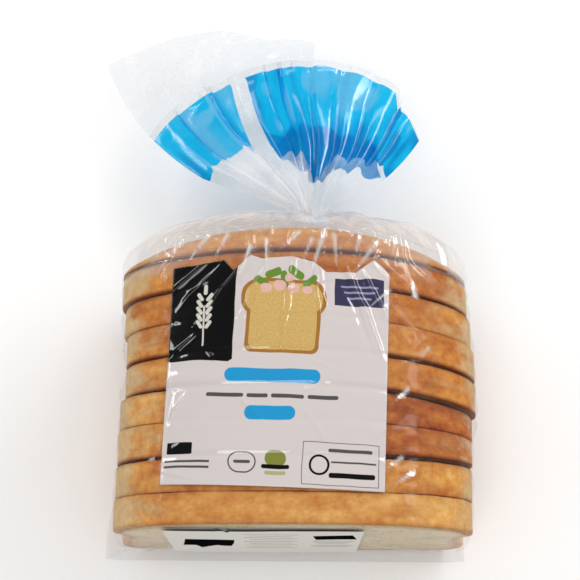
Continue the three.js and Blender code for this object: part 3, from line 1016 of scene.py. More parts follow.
# Slender folds that catch the light, seen from above: start, end and half width. Their whiter haze, which
# partly paints in their highlight, is narrower.
SHARP_FOLDS = [
    (-18, 56, -24, 38, 3.2), (-12, 60, -11, 39, 2.8), (4, 63, -8, 50, 3.2), (15, 65, 6, 36, 3.4),
    (9, 60, 3, 44, 2.6), (18, 62, 19, 42, 3.0), (39, 60, 24, 39, 3.2), (30, 62, 26, 46, 2.8),
    (54, 32, 52, 44, 3.4), (51, -7, 42, -16, 2.8), (53, -43, 41, -51, 3.0), (48, -37, 37, -45, 2.6),
    (-58, -37, -68, -45, 2.4), (-36, 62, -50, 44, 3.0), (-48, 60, -66, 38, 3.0),
    (-28, 62, -36, 46, 2.8), (46, 62, 42, 44, 2.6), (44, 37, 29, 23, 2.2), (60, 12, 54, 3, 2.2),
]
FOLD_GLINT_SHARE = 0.6
FOLD_MARGIN = 0.25
# Where the strips of light and the eye are, for the slope that shows one in the other.
STRIP_RIGHT = (758.0, 220.0, 876.0)
STRIP_LEFT = (-894.0, 200.0, 686.0)
EYE = (0.0, -142.0, 684.0)


def lit_slope(start, end):
    """The slope of a fold's sides that turns one of them to a strip of light."""
    middle = (np.array(start, float) + np.array(end, float)) / 2.0
    height = loop_value(FILM_LOOP[:, 1], middle[0])
    place = np.array([middle[0], middle[1], height])
    strip = np.array(STRIP_RIGHT if middle[0] > -25.0 else STRIP_LEFT)
    half = unit(strip - place) + unit(np.array(EYE) - place)
    wanted = -half[:2] / half[2]
    normal_x, normal_z = (loop_value(FILM_NORMALS[:, axis], middle[0]) for axis in (0, 1))
    dome = np.array([-normal_x / normal_z, 0.0])
    along = unit(np.subtract(end, start))
    return float(np.clip(abs(np.dot(wanted - dome, (along[1], -along[0]))), 0.08, 0.5))


def sharp_folds(x, y):
    """The height of the slender folds at places seen from above."""
    total = np.zeros_like(x)
    for *ends, width in SHARP_FOLDS:
        start, end = ends[:2], ends[2:]
        total = np.maximum(total, tent(x, y, start, end, width, lit_slope(start, end)))
    return total


def fold_haze_and_glint(x, y):
    """How much whiter the slender folds are at places seen from above, from 0 to 1: more film lies in them,
    and their highlight is partly painted in.
    """
    total = np.zeros_like(x)
    for *ends, width in SHARP_FOLDS:
        total = np.maximum(total, tent(x, y, ends[:2], ends[2:], FOLD_GLINT_SHARE * width, 1.0))
    return smoothstep(total, 0.0, 1.1)


def neck_wrinkles():
    """Folds that run from the neck over the first slices."""
    random = np.random.default_rng(11)
    lines = []
    for angle in np.linspace(-72.0, 68.0, 19):
        turn = math.radians(angle + random.uniform(-4.0, 4.0))
        reach = random.uniform(0.5, 1.0)
        start_distance = 24.0 + 26.0 * abs(math.sin(turn))
        end_distance = start_distance + 20.0 + 34.0 * reach
        away = np.array([math.sin(turn), -math.cos(turn)])
        start = NECK[:2] + away * start_distance
        end = NECK[:2] + away * end_distance
        lines.append((start, end, random.uniform(0.5, 1.1), random.uniform(1.3, 2.4)))
    return lines


LOOSE_FOLDS = 64


def loose_wrinkles():
    """Short folds here and there over the dome and down its sides, by distance round and along."""
    random = np.random.default_rng(23)
    lines = []
    for _ in range(LOOSE_FOLDS):
        start = np.array([random.uniform(-120.0, 120.0), random.uniform(-60.0, 50.0)])
        turn = random.normal(0.9, 0.5) * random.choice([-1.0, 1.0])
        length = random.uniform(9.0, 30.0)
        end = start + length * np.array([math.sin(turn), math.cos(turn)])
        lines.append((start, end, random.uniform(0.2, 0.55), random.uniform(1.0, 2.0)))
    return lines


FILM_TILTS = [0.0, 0.03, -0.02, 0.025, -0.03, 0.015, 0.035, -0.015, 0.01]
NECK_WRINKLES = neck_wrinkles()
LOOSE_WRINKLES = loose_wrinkles()


def film_relief(around, y, x):
    """How far the film stands off its even shape, outwards."""
    place = np.stack([around, y, np.zeros_like(y)], axis=-1)
    relief = 0.2 * value_noise(place, 17.0, 5)
    relief = relief + 0.05 * ridged_noise(place, 9.0, 6) + 0.012 * ridged_noise(place, 4.6, 8)
    for index, gap in enumerate(SLICE_GAPS):
        middle = SPANS[index][1] - gap / 2
        relief = relief - (0.12 + 0.4 * gap) * np.exp(-(((y - middle) / 1.5) ** 2))
    for start, end, height, width in NECK_WRINKLES:
        relief = relief + ridge(x, y, start, end, height, width)
    for start, end, height, width in LOOSE_WRINKLES:
        relief = relief + ridge(around, y, start, end, height, width)
    for index, (near, far, _) in enumerate(SPANS):
        over = smoothstep(y, far - 1.0, far + 4.0) * (1.0 - smoothstep(y, near - 4.0, near + 1.0))
        tilt = FILM_TILTS[index] + 0.02 * np.sin(around / 23.0 + 2.1 * index)
        relief = relief + over * tilt * (y - (near + far) / 2)
    folds = sharp_folds(x, y)
    return relief * (1.0 - smoothstep(folds, 0.0, FOLD_MARGIN)) + folds


def film_points(around, y, lift=0.0):
    """Points of the film over the slices, by distance round the loaf and along it."""
    around = np.asarray(around, float)
    y = np.asarray(y, float)
    x = loop_value(FILM_LOOP[:, 0], around)
    z = loop_value(FILM_LOOP[:, 1], around)
    normal_x = loop_value(FILM_NORMALS[:, 0], around)
    normal_z = loop_value(FILM_NORMALS[:, 1], around)
    free = smoothstep(z, 0.0, CORNER_RADIUS)
    to_end = smoothstep(-y, -WEB_START, LOAF_LENGTH / 2)
    web = np.exp(-(((z - WEB_LEVEL) / WEB_THICKNESS) ** 2)) * (np.abs(x) > BASE_HALF_WIDTH) * to_end
    side_push = lerp(widest_shift(y, -1), widest_shift(y, 1), smoothstep(x, -45.0, 45.0))
    ragged = 1.0 + 0.16 * value_noise(np.stack([np.sign(x), y, np.zeros_like(y)], axis=-1), 17.0, 51)
    reach = np.where(x > 0, WEB_REACH_RIGHT, -WEB_REACH_LEFT) * ragged
    off = film_relief(around, y, x) * smoothstep(z, 2.0, 12.0) + lift
    place = y - lean_back(x, y)
    return np.stack([x + side_push * free + web * reach + normal_x * off, place, z + normal_z * off], axis=-1)


def straight_points(around, y, lift):
    """Points of the film at real places, neither leaning nor pushed aside with its slices."""
    x = loop_value(FILM_LOOP[:, 0], around)
    place = y
    for _ in range(6):
        points = film_points(around, place, lift)
        place = place + y - points[..., 1]
        around = around + x - points[..., 0]
    return film_points(around, place, lift)


# Creases of the folded film over the closed end, by x and height: start, end, crease height and width.
END_CREASES = [
    ((-78, 4), (-30, 40), 1.6, 2.2), ((-66, 3), (-44, 30), 1.0, 1.6), ((74, 4), (34, 34), 1.3, 2.0),
    ((62, 3), (48, 22), 0.8, 1.5), ((-74, 60), (-52, 46), 0.8, 1.6), ((70, 66), (50, 50), 0.7, 1.6),
    ((-30, 92), (-24, 74), 0.6, 1.5), ((36, 88), (28, 70), 0.6, 1.5),
]


def end_relief(x, z):
    """How far the film over the closed end stands off a plane."""
    relief = 0.3 * value_noise(np.stack([x, z, np.zeros_like(x)], axis=-1), 21.0, 9)
    for start, end, height, width in END_CREASES:
        relief = relief + ridge(x, z, start, end, height, width)
    return relief


def end_depth(x, z):
    """How far along the loaf the film over the closed end lies."""
    out = WEB_REACH_END * (1.0 - smoothstep(z, 0.0, 10.0))
    inside = smoothstep(z, 0.0, 8.0) * smoothstep(82.0 - np.abs(x), 0.0, 10.0)
    return -LOAF_LENGTH / 2 - out - (0.3 + end_relief(x, z)) * inside


def column_places(count):
    """Distances round the film for its columns: close on the dome and at the lower corners, wide below."""
    fine = np.linspace(0.0, FILM_ROUND, 4000)
    around = FILM_ROUND / 2 - fine
    height = loop_value(FILM_LOOP[:, 1], around)
    at_corner = np.exp(-((height - 2.0) / 3.0) ** 2) * (height > 0.05)
    density = 0.35 + 0.65 * smoothstep(height, 0.5, 3.0) + 1.2 * at_corner
    gathered = np.concatenate([[0.0], np.cumsum(density[:-1])])
    even = np.linspace(0.0, gathered[-1], count, endpoint=False)
    return FILM_ROUND / 2 - np.interp(even, gathered, fine)


def grid_normals(grid):
    """Outward normals of a grid of rows that are closed loops."""
    across = np.roll(grid, -1, axis=1) - np.roll(grid, 1, axis=1)
    along = np.gradient(grid, axis=0)
    normals = np.cross(across, along)
    return normals / np.maximum(np.linalg.norm(normals, axis=2, keepdims=True), 1e-9)


def gather(turns):
    """The uneven pleats round the neck, from -1 in a valley to 1 on a crest."""
    random = np.random.default_rng(3)
    total = np.zeros_like(turns)
    for waves, share in ((17, 0.5), (26, 0.55), (41, 0.3)):
        phase = random.uniform(0.0, 2 * math.pi) + 0.7 * np.sin(turns * 3 + random.uniform(0, 6))
        total = total + share * (1.0 - 2.0 * np.abs(np.sin(turns * waves / 2 + phase)) ** 0.8)
    return total


SLEEVE_COLUMNS = 480
SLEEVE_ROWS = 122
SHOULDER_ROWS = 42
END_ROWS = 27
# How gathered the film is, which makes it whiter: over the closed end, and in the slender folds, where the
# whiteness is partly a painted highlight.
END_GATHER = 0.35
FOLD_GLINT_WHITENING = 1.7
HAZE_ROWS = 14


def make_sleeve(material):
    """The film from the closed end over the slices and in to the neck, one skin."""
    columns = SLEEVE_COLUMNS
    around = column_places(columns)
    turns = 2 * math.pi * (0.5 - around / FILM_ROUND)
    rim_y = -LOAF_LENGTH / 2 + END_ROUNDING
    rim = film_points(around, np.full(columns, rim_y))
    normal_x = loop_value(FILM_NORMALS[:, 0], around)
    normal_z = loop_value(FILM_NORMALS[:, 1], around)
    free = smoothstep(rim[:, 2], 0.0, CORNER_RADIUS)
    middle = np.array([SLICE_SHIFTS[-1], SLICE_MIDDLE[1]])
    face = rim[:, [0, 2]] - np.stack([normal_x, normal_z], axis=1) * (END_ROUNDING * free)[:, None]
    rows = []
    for share in np.linspace(0.0, 1.0, END_ROWS + 1)[1:]:
        flat = middle + (face - middle) * share
        rows.append(np.stack([flat[:, 0], end_depth(flat[:, 0], flat[:, 1]), flat[:, 1]], axis=1))
    for turn in np.linspace(0.0, math.pi / 2, 6)[1:-1]:
        share = 1.0 - math.cos(turn)
        rounded = lerp(face, rim[:, [0, 2]], math.sin(turn))
        depth = lerp(rows[END_ROWS - 1][:, 1], rim_y, share)
        rows.append(np.stack([rounded[:, 0], depth, rounded[:, 1]], axis=1))
    shoulder_y = LOAF_LENGTH / 2 - HEEL_ROUNDING - FILM_CLEARANCE
    for y in np.linspace(rim_y, shoulder_y, SLEEVE_ROWS):
        rows.append(film_points(around, np.full(columns, y)))
    start = rows[-1]
    neck = np.stack([NECK[0] + NECK_HALF_WIDTH * np.sin(turns), np.full(columns, NECK[1]),
                     NECK[2] - NECK_HALF_HEIGHT * np.cos(turns)], axis=1)
    drawn = np.linspace(0.0, 1.0, SHOULDER_ROWS)[1:] ** 2.0
    shoulder_first = len(rows)
    for share in drawn:
        ring = lerp(start, neck, share)
        ring[:, 1] = lerp(start[:, 1], NECK[1], share ** SHOULDER_POWER)
        rows.append(ring)
    grid = np.array(rows)
    grid[:, :, 2] = np.maximum(grid[:, :, 2], FILM_FLOOR)
    normals = grid_normals(grid)
    depth = np.zeros(len(rows))
    depth[shoulder_first:] = 1.7 * np.sin(math.pi * drawn ** 0.42) ** 1.2 + 0.5 * drawn
    above = smoothstep(grid[:, :, 2], 1.0, 14.0)
    off = depth[:, None] * gather(turns)[None, :]
    shoulder = grid[shoulder_first:]
    folds = sharp_folds(shoulder[:, :, 0], shoulder[:, :, 1]) * (shoulder[:, :, 2] > 60.0)
    off[shoulder_first:] = off[shoulder_first:] * (1.0 - smoothstep(folds, 0.0, FOLD_MARGIN)) + folds
    grid = grid + normals * (off * above)[:, :, None]
    grid[:, :, 2] = np.maximum(grid[:, :, 2], FILM_FLOOR)
    end_middle = (middle[0], end_depth(middle[0], middle[1]), middle[1])
    vertices = np.vstack([grid.reshape(-1, 3), [end_middle]])
    faces = grid_faces(len(rows), columns, True)
    faces += [(len(vertices) - 1, (column + 1) % columns, column) for column in range(columns)]
    piece = mesh_piece("film_sleeve", vertices, faces)
    gathered = np.zeros((len(rows), columns))
    corner = smoothstep(np.abs(rim[:, 0]), 25.0, 70.0)
    near_neck = smoothstep(drawn, 0.0, 0.5)[:, None]
    at_start = 0.30 + 0.40 * corner
    gathered[shoulder_first:] = lerp(at_start, 1.0, near_neck)
    gathered[shoulder_first - HAZE_ROWS:shoulder_first] = np.linspace(0.0, 1.0, HAZE_ROWS)[:, None] * at_start
    gathered[:END_ROWS] = END_GATHER
    # The slender folds' whiter haze is partly a painted highlight.
    doubled_film_and_glint = FOLD_GLINT_WHITENING * fold_haze_and_glint(grid[:, :, 0], grid[:, :, 1]) * smoothstep(grid[:, :, 2], 50.0, 65.0)
    gathered = np.maximum(gathered, doubled_film_and_glint)
    point_values(piece, "gathered", np.append(gathered.ravel(), END_GATHER))
    piece.data.materials.append(material)
    return piece


# The fan of loose film past the neck.

# Each pleat: its width, and how far it folds over the next one, or 0 for a soft bend.
FRONT_PLEATS = [
    (0.05, 0.0), (0.06, 0.012), (0.06, 0.0), (0.07, 0.020), (0.08, 0.0), (0.04, 0.0), (0.07, 0.014),
    (0.05, 0.024), (0.06, 0.0), (0.05, 0.010), (0.08, 0.0), (0.04, 0.018), (0.06, 0.0), (0.05, 0.012),
    (0.07, 0.0), (0.05, 0.018), (0.06, 0.0), (0.05, 0.0),
]
BACK_PLEATS = [
    (0.13, 0.0), (0.10, 0.014), (0.12, 0.0), (0.09, 0.0), (0.07, 0.016), (0.10, 0.0),
    (0.06, 0.014), (0.09, 0.0), (0.08, 0.012), (0.07, 0.0), (0.12, 0.0),
]


# How far from the neck the front of the film ends, at places across it.
MOUTH_PLACES = [0.0, 0.27, 0.54, 0.73, 0.84, 0.885, 1.0]
MOUTH_REACHES = [96.0, 91.0, 90.5, 89.0, 86.0, 76.0, 70.5]
PLEAT_ROUNDS = 3
PLEAT_SCALE = (140.0, 2.6)


def fan_angles(reach):
    """The fan's left and right edge, as angles at the neck, at a distance from it."""
    left = np.interp(reach, [0, 58, 92, 144], [-67.0, -66.0, -59.0, -47.6])
    right = np.interp(reach, [0, 39, 69, 90], [60.0, 58.0, 49.5, 47.0])
    return np.radians(left), np.radians(right)


def mouth_reach(across):
    """How far from the neck the front of the film ends."""
    return np.interp(across, MOUTH_PLACES, MOUTH_REACHES)


def lip_reach(across):
    """How far from the neck the longer back of the film ends."""
    lip = np.interp(across, [0.0, 0.27, 0.42, 0.552, 0.562, 0.58], [144.0, 127.0, 111.0, 106.5, 90.0, 0.0])
    return np.maximum(lip, mouth_reach(across))


def pleat_path(pleats, count):
    """Flattened pleats across the film: (across, height) from its left edge to its right one."""
    corners = [(0.0, 0.0)]
    place = 0.0
    total = sum(width for width, _ in pleats)
    for index, (width, overlap) in enumerate(pleats[:-1]):
        place += width / total
        rise = 0.75 + 0.25 * math.sin(5.1 * index)
        if overlap == 0.0:
            corners.append((place, 0.5 * rise * (-1) ** index))
        elif place < 0.52:
            corners += [(place + overlap, rise), (place - overlap, -rise)]
        else:
            corners += [(place - overlap, -rise), (place + overlap, rise)]
    corners.append((1.0, 0.0))
    path = np.array(corners)
    for _ in range(PLEAT_ROUNDS):
        first, second = path[:-1], path[1:]
        cut = np.stack([lerp(first, second, 0.25), lerp(first, second, 0.75)], axis=1).reshape(-1, 2)
        path = np.vstack([path[:1], cut, path[-1:]])
    lengths = arc_lengths(path * np.array(PLEAT_SCALE))
    wanted = np.linspace(0.0, lengths[-1], count)
    return np.interp(wanted, lengths, path[:, 0]), np.interp(wanted, lengths, path[:, 1])


def fan_points(across, height, reach, layer):
    """Points of the fan. Layer is 1 for its front, -1 for its back."""
    left, right = fan_angles(reach)
    angle = lerp(left, right, across)
    inside = smoothstep(np.minimum(across, 1.0 - across), -0.02, 0.08)
    swell = np.interp(reach, [0.0, 20.0, 60.0, 90.0, 144.0], [1.5, 2.3, 2.6, 2.2, 1.6])
    droop = FAN_DROOP * (reach / FAN_DROOP_LENGTH) ** 1.5
    bend = np.stack([across * 90.0, reach, np.full_like(reach, 40.0 * layer)], axis=-1)
    drawn = bend * np.array([1.0, 0.25, 1.0])
    wave = 1.6 * value_noise(drawn, 16.0, 31) * smoothstep(reach, 20.0, 80.0)
    wave = wave + 0.7 * value_noise(drawn, 6.0, 34) * smoothstep(reach, 12.0, 50.0)
    crumple = 0.9 * ridged_noise(bend, 19.0, 32) + 0.4 * ridged_noise(bend, 8.0, 33)
    crumple = crumple * smoothstep(reach, 75.0, 105.0)
    z = NECK[2] - droop + (wave + crumple) * inside + layer * FAN_GAP * inside + swell * height
    return np.stack([NECK[0] + reach * np.sin(angle), NECK[1] + reach * np.cos(angle), z], axis=-1)


# Painted highlights in streaks along the fan's front: place across it, width and strength.
PAINTED_PLEAT_HIGHLIGHTS = [
    (0.055, 0.007, 1.0), (0.12, 0.010, 0.7), (0.21, 0.006, 0.8), (0.47, 0.012, 0.8),
    (0.56, 0.005, 0.7), (0.68, 0.030, 0.9), (0.90, 0.006, 1.0), (0.95, 0.008, 0.8),
]


def pleat_streaks_and_painted_light(across, reach, layer):
    """Streaks along the pleats, paler or deeper in colour: painted highlights and shade of the pleats."""
    place = np.stack([across * 90.0, reach * 0.14, np.full_like(across, 30.0) * layer], axis=-1)
    streaks_with_painted_light = 0.9 * value_noise(place, 6.0, 71) + 0.6 * value_noise(place, 2.4, 72)
    for middle, width, strength in PAINTED_PLEAT_HIGHLIGHTS:
        streaks_with_painted_light = streaks_with_painted_light + strength * np.exp(-((across - middle) / width) ** 2) * (layer > 0)
    return streaks_with_painted_light


# Paler patches of the band, where one film lies over clear film and a broad reflection is painted in: place
# across, distance, and their half sizes.
PALE_FILM_AND_PAINTED_REFLECTION_PATCHES = [
    (0.565, 79.0, 0.045, 9.0), (0.745, 71.0, 0.055, 9.0), (0.40, 74.0, 0.03, 7.0), (0.17, 78.0, 0.04, 6.0),
]
# The band's inner and outer edges, as distances from the neck at angles in degrees.
INNER_ANGLES = [-66, -38, -28, -18, -8, 2, 8, 16, 26, 40, 58]
FRONT_INNER = [56, 46, 38, 35, 30, 22, 20, 30, 37, 40, 42]
BACK_INNER = [56, 47, 40, 33, 25, 24, 26, 25, 33, 38, 43]
OUTER_ANGLES = [-66, -30, -24, -16, -8, 2, 12, 24, 34, 46, 58]
BACK_OUTER = [0, 0, 44, 50, 58, 54, 60, 50, 56, 46, 40]


def fan_depth(across, reach, layer):
    """Where the band is deep, with two films over each other, above 0, or paler, below 0, where clear film
    lies over it and a broad reflection is painted in.
    """
    place = np.stack([across * 90.0, reach * 0.5, np.full_like(across, 50.0)], axis=-1)
    uneven = value_noise(place, 7.0, 75)
    deep = smoothstep(across, 0.29, 0.36) * (1.0 - smoothstep(reach + 5.0 * uneven, 43.0, 52.0))
    flap = smoothstep(across, 0.86, 0.88) * (0.5 + 0.8 * uneven)
    depth = 1.5 * np.maximum(deep, np.clip(flap, 0.0, 1.0))
    for middle, distance, half_width, half_length in PALE_FILM_AND_PAINTED_REFLECTION_PATCHES:
        off = ((across - middle) / half_width) ** 2 + ((reach - distance + 3.0 * uneven) / half_length) ** 2
        depth = depth - 0.9 * np.exp(-off * off)
    return depth * (layer > 0)


def band_distance(across, reach, height, layer):
    """How far inside the printed band a point of the fan lies."""
    left, right = fan_angles(reach)
    angle = lerp(left, right, across)
    degrees = np.degrees(angle)
    margin = np.where(across > 0.875, 1.0, 4.2)
    outer = mouth_reach(np.clip(across, 0.0, 1.0)) - margin
    front_inner = np.interp(degrees, INNER_ANGLES, FRONT_INNER)
    ragged = 2.0 + 3.0 * np.exp(-((degrees - 2.0) / 24.0) ** 2)
    front_inner = front_inner + 3.0 * height + ragged * pleat_streaks_and_painted_light(across, reach, layer)
    front = np.minimum(reach - front_inner, outer - reach)
    back_inner = np.interp(degrees, INNER_ANGLES, BACK_INNER)
    back_inner = back_inner + 3.0 * pleat_streaks_and_painted_light(across, reach, layer)
    back_outer = np.interp(degrees, OUTER_ANGLES, BACK_OUTER)
    back = np.minimum(reach - back_inner - 4.0 * height, back_outer + 5.0 * height - reach)
    gap_middle = np.radians(np.interp(reach, [44.0, 84.0], [-33.0, -25.7]))
    gap = np.abs(angle - gap_middle) * reach - np.where(layer > 0, 4.2, 3.0)
    return np.minimum(np.where(layer > 0, front, back), gap)


FRONT_COLUMNS = 340
BACK_COLUMNS = 300
FAN_ROWS = 96
LIP_ROWS = 52
# The clear lip lies this far outside the printed band.
LIP_BAND = -4.0


def make_fan(material):
    """The open end of the bag: a pleated front and back, and the back's longer clear lip."""
    front_across, front_height = pleat_path(FRONT_PLEATS, FRONT_COLUMNS)
    back_across, back_height = pleat_path(BACK_PLEATS, BACK_COLUMNS)
    across = np.concatenate([front_across[::-1], back_across[1:-1]])
    height = np.concatenate([front_height[::-1], back_height[1:-1]])
    layer = np.concatenate([np.ones(FRONT_COLUMNS), -np.ones(BACK_COLUMNS - 2)])
    columns = len(across)
    turns = math.pi / 2 + 2 * math.pi * np.arange(columns) / columns
    mouth = mouth_reach(np.clip(across, 0.0, 1.0))
    points, bands, streaks_with_painted_light = [], [], []
    for share in np.linspace(0.0, 1.0, FAN_ROWS + 1):
        reach = mouth * share
        oval = np.stack([NECK[0] + NECK_HALF_WIDTH * np.sin(turns), NECK[1] + 0.5 * reach,
                         NECK[2] - NECK_HALF_HEIGHT * np.cos(turns)], axis=1)
        flat = fan_points(across, height, reach, layer)
        points.append(lerp(oval, flat, smoothstep(reach, 0.0, FAN_BLEND)[:, None]))
        bands.append(band_distance(across, reach, height, layer))
        # These values paint light and shade along the pleats, and mark the band's deeper double film and
        # paler patches.
        streaks_with_painted_light.append(pleat_streaks_and_painted_light(across, reach, layer) - fan_depth(across, reach, layer))
    vertices = np.vstack(points)
    band = np.concatenate(bands)
    faces = grid_faces(FAN_ROWS + 1, columns, True)
    lip_vertices, lip_faces = make_lip(across, height, FAN_ROWS * columns, len(vertices))
    piece = mesh_piece("film_fan", np.vstack([vertices, lip_vertices]), faces + lip_faces)
    away = np.linalg.norm(np.vstack([vertices, lip_vertices]) - NECK, axis=1)
    point_values(piece, "band", np.concatenate([band, np.full(len(lip_vertices), LIP_BAND)]))
    x, y, z = lip_vertices.T
    drawn = np.stack([x + 0.6 * y, 0.3 * (y - 0.6 * x), z], axis=-1)
    # Painted highlights along the lip's creases, as whiter haze.
    lip_painted_glints = 1.1 * ridged_noise(drawn, 13.0, 73) - 0.5
    point_values(piece, "depth_and_painted_light", np.concatenate(streaks_with_painted_light + [lip_painted_glints]))
    point_values(piece, "gathered", 1.0 - smoothstep(away, 8.0, 62.0))
    piece.data.materials.append(material)
    return piece


def make_lip(across, height, mouth_start, first_new):
    """The back's longer end: rows of points past the mouth, joined to the back's last row."""
    columns = [column for column in range(FRONT_COLUMNS - 1, len(across))
               if lip_reach(across[column]) - mouth_reach(np.clip(across[column], 0.0, 1.0)) > 1.0]
    flat_across = np.linspace(across[columns[0]], across[columns[-1]], len(columns))
    indices = [[mouth_start + column for column in columns]]
    vertices = []
    for row in range(1, LIP_ROWS + 1):
        share = row / LIP_ROWS
        eased = lerp(across[columns], flat_across, smoothstep(share, 0.0, 0.6))
        start = mouth_reach(np.clip(eased, 0.0, 1.0))
        reach = lerp(start, lip_reach(eased), share)
        layer = np.full(len(columns), -1.0)
        flattened = height[columns] * lerp(1.0, 0.3, smoothstep(share, 0.0, 0.6))
        vertices.append(fan_points(eased, flattened, reach, layer))
        first = first_new + (row - 1) * len(columns)
        indices.append(list(range(first, first + len(columns))))
    faces = []
    for near, far in zip(indices[:-1], indices[1:]):
        for place in range(len(columns) - 1):
            faces.append((near[place], near[place + 1], far[place + 1], far[place]))
    return np.vstack(vertices), faces


# The printed label and the printed sheet on the closed end.


def thick_sheet(name, grid, uv, thickness, material):
    """A closed sheet from a grid of points on one side, its places in the print, and its thickness."""
    rows, columns = grid.shape[:2]
    across = np.gradient(grid, axis=1)
    along = np.gradient(grid, axis=0)
    normals = np.cross(across, along)
    normals /= np.linalg.norm(normals, axis=2, keepdims=True)
    vertices = np.vstack([grid.reshape(-1, 3), (grid + normals * thickness).reshape(-1, 3)])
    under = grid_faces(rows, columns, False)
    layer = rows * columns
    faces = [tuple(reversed(face)) for face in under]
    faces += [tuple(index + layer for index in face) for face in under]
    rim = list(range(columns - 1))
    rim += [row * columns + columns - 1 for row in range(rows - 1)]
    rim += [(rows - 1) * columns + column for column in range(columns - 1, 0, -1)]
    rim += [row * columns for row in range(rows - 1, 0, -1)]
    for first, second in zip(rim, rim[1:] + rim[:1]):
        faces.append((first, second, second + layer, first + layer))
    piece = mesh_piece(name, vertices, faces)
    point_faces_out(piece)
    vertex_uv(piece, "film_place", np.vstack([uv.reshape(-1, 2)] * 2) / UV_UNIT)
    piece.data.materials.append(material)
    return piece


LABEL_WIDTH = 96.0
LABEL_LENGTH = 98.0
LABEL_CENTRE = (-7.0, (label_low.y + label_high.y) / 2)
LABEL_TURN = math.radians(-2.0)
LABEL_LIFT = 0.45
PRINT_THICKNESS = 0.08
LABEL_ROWS = 190
# Where the crumpled film starts to pull the label, and how far it lifts its far edge at places across it.
CRUMPLE_START = 42.5
CRUMPLE_PLACES = [-48.0, -36.0, -25.0, -20.5, -13.0, -8.0, 4.0, 14.0, 20.0, 33.0, 37.0, 41.0, 45.0, 48.0]
CRUMPLE_LIFTS = [-2.5, -1.5, 0.5, -4.0, 3.0, 1.5, 3.0, 1.0, -3.5, -3.0, 0.5, 3.5, 0.5, -2.5]


def centred_grid(rows, length, columns, width):
    """The places of a grid about its centre: down its rows, and across its columns."""
    return np.meshgrid(np.linspace(-0.5, 0.5, rows) * length, np.linspace(-0.5, 0.5, columns) * width,
                       indexing="ij")


def make_label(material):
    """The printed field on the front, following the film over the dome."""
    along, across = centred_grid(LABEL_ROWS, LABEL_LENGTH, LABEL_ROWS, LABEL_WIDTH)
    far_part = np.clip((along - CRUMPLE_START) / (LABEL_LENGTH / 2 - CRUMPLE_START), 0.0, 1.0)
    pulled = along + far_part * np.interp(across, CRUMPLE_PLACES, CRUMPLE_LIFTS)
    around = LABEL_CENTRE[0] + across * math.cos(LABEL_TURN) - pulled * math.sin(LABEL_TURN)
    y = LABEL_CENTRE[1] + across * math.sin(LABEL_TURN) + pulled * math.cos(LABEL_TURN)
    grid = straight_points(around, y, LABEL_LIFT)
    piece = thick_sheet("label", grid, np.stack([across, along], axis=-1), PRINT_THICKNESS, material)
    haze = fold_haze_and_glint(grid[:, :, 0], grid[:, :, 1]).ravel()
    # The fold attribute holds the folds' whiter haze, partly a painted highlight.
    point_values(piece, "fold", np.append(haze, haze))
    return piece


END_PANEL_CENTRE = (-12.0, 46.0)
END_PANEL_WIDTH = 86.0
END_PANEL_HEIGHT = 76.0


def make_end_panel(material):
    """The printed sheet on the film of the closed end."""
    up, across = centred_grid(90, END_PANEL_HEIGHT, 120, END_PANEL_WIDTH)
    x = END_PANEL_CENTRE[0] + across
    z = END_PANEL_CENTRE[1] + up
    grid = np.stack([x, end_depth(x, z) - LABEL_LIFT, z], axis=-1)
    return thick_sheet("end_panel", grid, np.stack([across, up], axis=-1), PRINT_THICKNESS, material)


# Floor, light and camera.


FLOOR_SIZE = 3000.0
FLOOR_LEVEL = -0.3
FLOOR_WHITE = (0.97, 0.97, 0.97, 1.0)


def make_floor():
    """A wide sheet of white paper under the bag."""
    signs = ((-1, -1), (1, -1), (1, 1), (-1, 1))
    corners = [(x * FLOOR_SIZE, y * FLOOR_SIZE, FLOOR_LEVEL) for x, y in signs]
    floor = mesh_piece("floor", corners, [(0, 1, 2, 3)])
    material, _, shader, _ = new_material("floor_paper")
    shader.inputs["Base Color"].default_value = FLOOR_WHITE
    shader.inputs["Roughness"].default_value = 0.9
    floor.data.materials.append(material)


def area_light(name, place, target, width, length, radiance):
    """A rectangular light whose brightness is given for its face."""
    data = bpy.data.lights.new(name, "AREA")
    data.shape = "RECTANGLE"
    data.size = width
    data.size_y = length
    data.energy = radiance * math.pi * width * length
    light = bpy.data.objects.new(name, data)
    light.location = place
    light.rotation_mode = "QUATERNION"
    aim = Vector(target) - Vector(place)
    beside = Vector((0.0, 1.0, 0.0)) if abs(aim.x) > abs(aim.y) else Vector((0.0, 0.0, 1.0))
    side = aim.cross(beside).normalized()
    ahead = -aim.normalized()
    length_axis = ahead.cross(side)
    turn = Matrix((side, length_axis, ahead)).transposed()
    light.rotation_quaternion = turn.to_quaternion()
    bpy.context.scene.collection.objects.link(light)


# The strength of the studio's even light, and of its reflection in glossy surfaces.
WORLD_LIGHT = 0.66
WORLD_MIRRORED = 0.05
LIGHT_TARGET = (0.0, 0.0, 0.06)


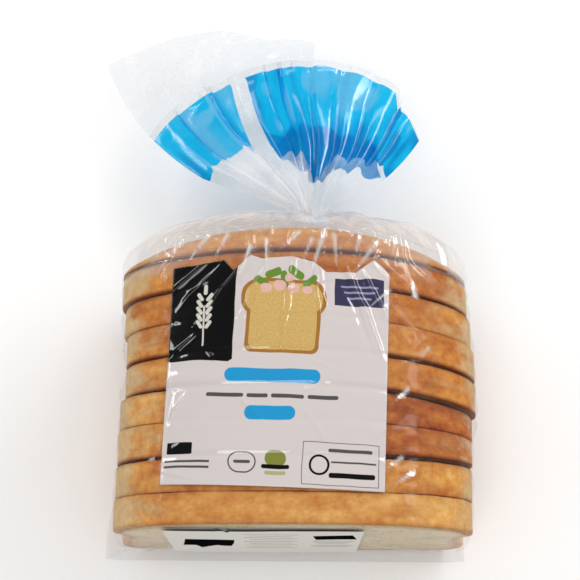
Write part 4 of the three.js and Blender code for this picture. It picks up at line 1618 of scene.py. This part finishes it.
def make_lights():
    """An even white studio, a soft light before the bag, and strips beside it and past the neck."""
    world = bpy.data.worlds.new("studio")
    bpy.context.scene.world = world
    world.use_nodes = True
    tree = world.node_tree
    tree.nodes["Background"].inputs["Color"].default_value = (1.0, 1.0, 1.0, 1.0)
    mirrored_ray = node(tree, "ShaderNodeLightPath").outputs["Is Glossy Ray"]
    strength = map_range(tree, mirrored_ray, 0.0, 1.0, WORLD_LIGHT, WORLD_MIRRORED, "LINEAR")
    tree.links.new(strength, tree.nodes["Background"].inputs["Strength"])
    area_light("soft_front", (-0.16, -0.62, 1.2), LIGHT_TARGET, 0.6, 0.6, 3.0)
    area_light("strip_right", (0.66, 0.50, 0.77), LIGHT_TARGET, 0.14, 0.95, 9.0)
    area_light("strip_left", (-0.80, 0.45, 0.62), LIGHT_TARGET, 0.09, 0.80, 6.0)
    area_light("strip_neck", (0.15, 0.95, 0.75), LIGHT_TARGET, 1.0, 0.06, 5.5)


# The photograph's frame is 580 pixels wide; the bag fills it here, seen from the photograph's side.
CAMERA_PLACE = Vector((0.0, -0.142, 0.684))
CAMERA_AIM = Vector((-0.002, 0.2888, -0.960))
FRAME_PIXELS = 580.0
FOCAL_PIXELS = 518.0 * 2.72


def make_camera():
    """The photograph's camera, with the bag framed alone."""
    data = bpy.data.cameras.new("camera")
    data.sensor_width = 36.0
    data.lens = data.sensor_width * FOCAL_PIXELS / FRAME_PIXELS
    camera = bpy.data.objects.new("camera", data)
    camera.location = CAMERA_PLACE
    camera.rotation_mode = "QUATERNION"
    camera.rotation_quaternion = CAMERA_AIM.to_track_quat("-Z", "Y")
    bpy.context.scene.collection.objects.link(camera)
    bpy.context.scene.camera = camera


def main():
    scene = bpy.context.scene
    scene.view_settings.view_transform = "Standard"
    scene.cycles.transparent_max_bounces = 40
    slices = make_slices(crust_material(), crumb_material())
    sleeve = make_sleeve(film_material())
    fan = make_fan(printed_film_material())
    label = make_label(print_material("label_print", label_prints(), PAPER, 0.8, 0.1))
    end_panel = make_end_panel(print_material("end_print", end_prints(), END_PAPER, 0.0, 0.0))
    for piece in slices:
        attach(piece, "root")
        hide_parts("bag")
    for piece in (sleeve, fan):
        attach(piece, "root")
        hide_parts("bag")
    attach(label, "root")
    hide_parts("front_label")
    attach(end_panel, "root")
    make_floor()
    make_lights()
    make_camera()


main()
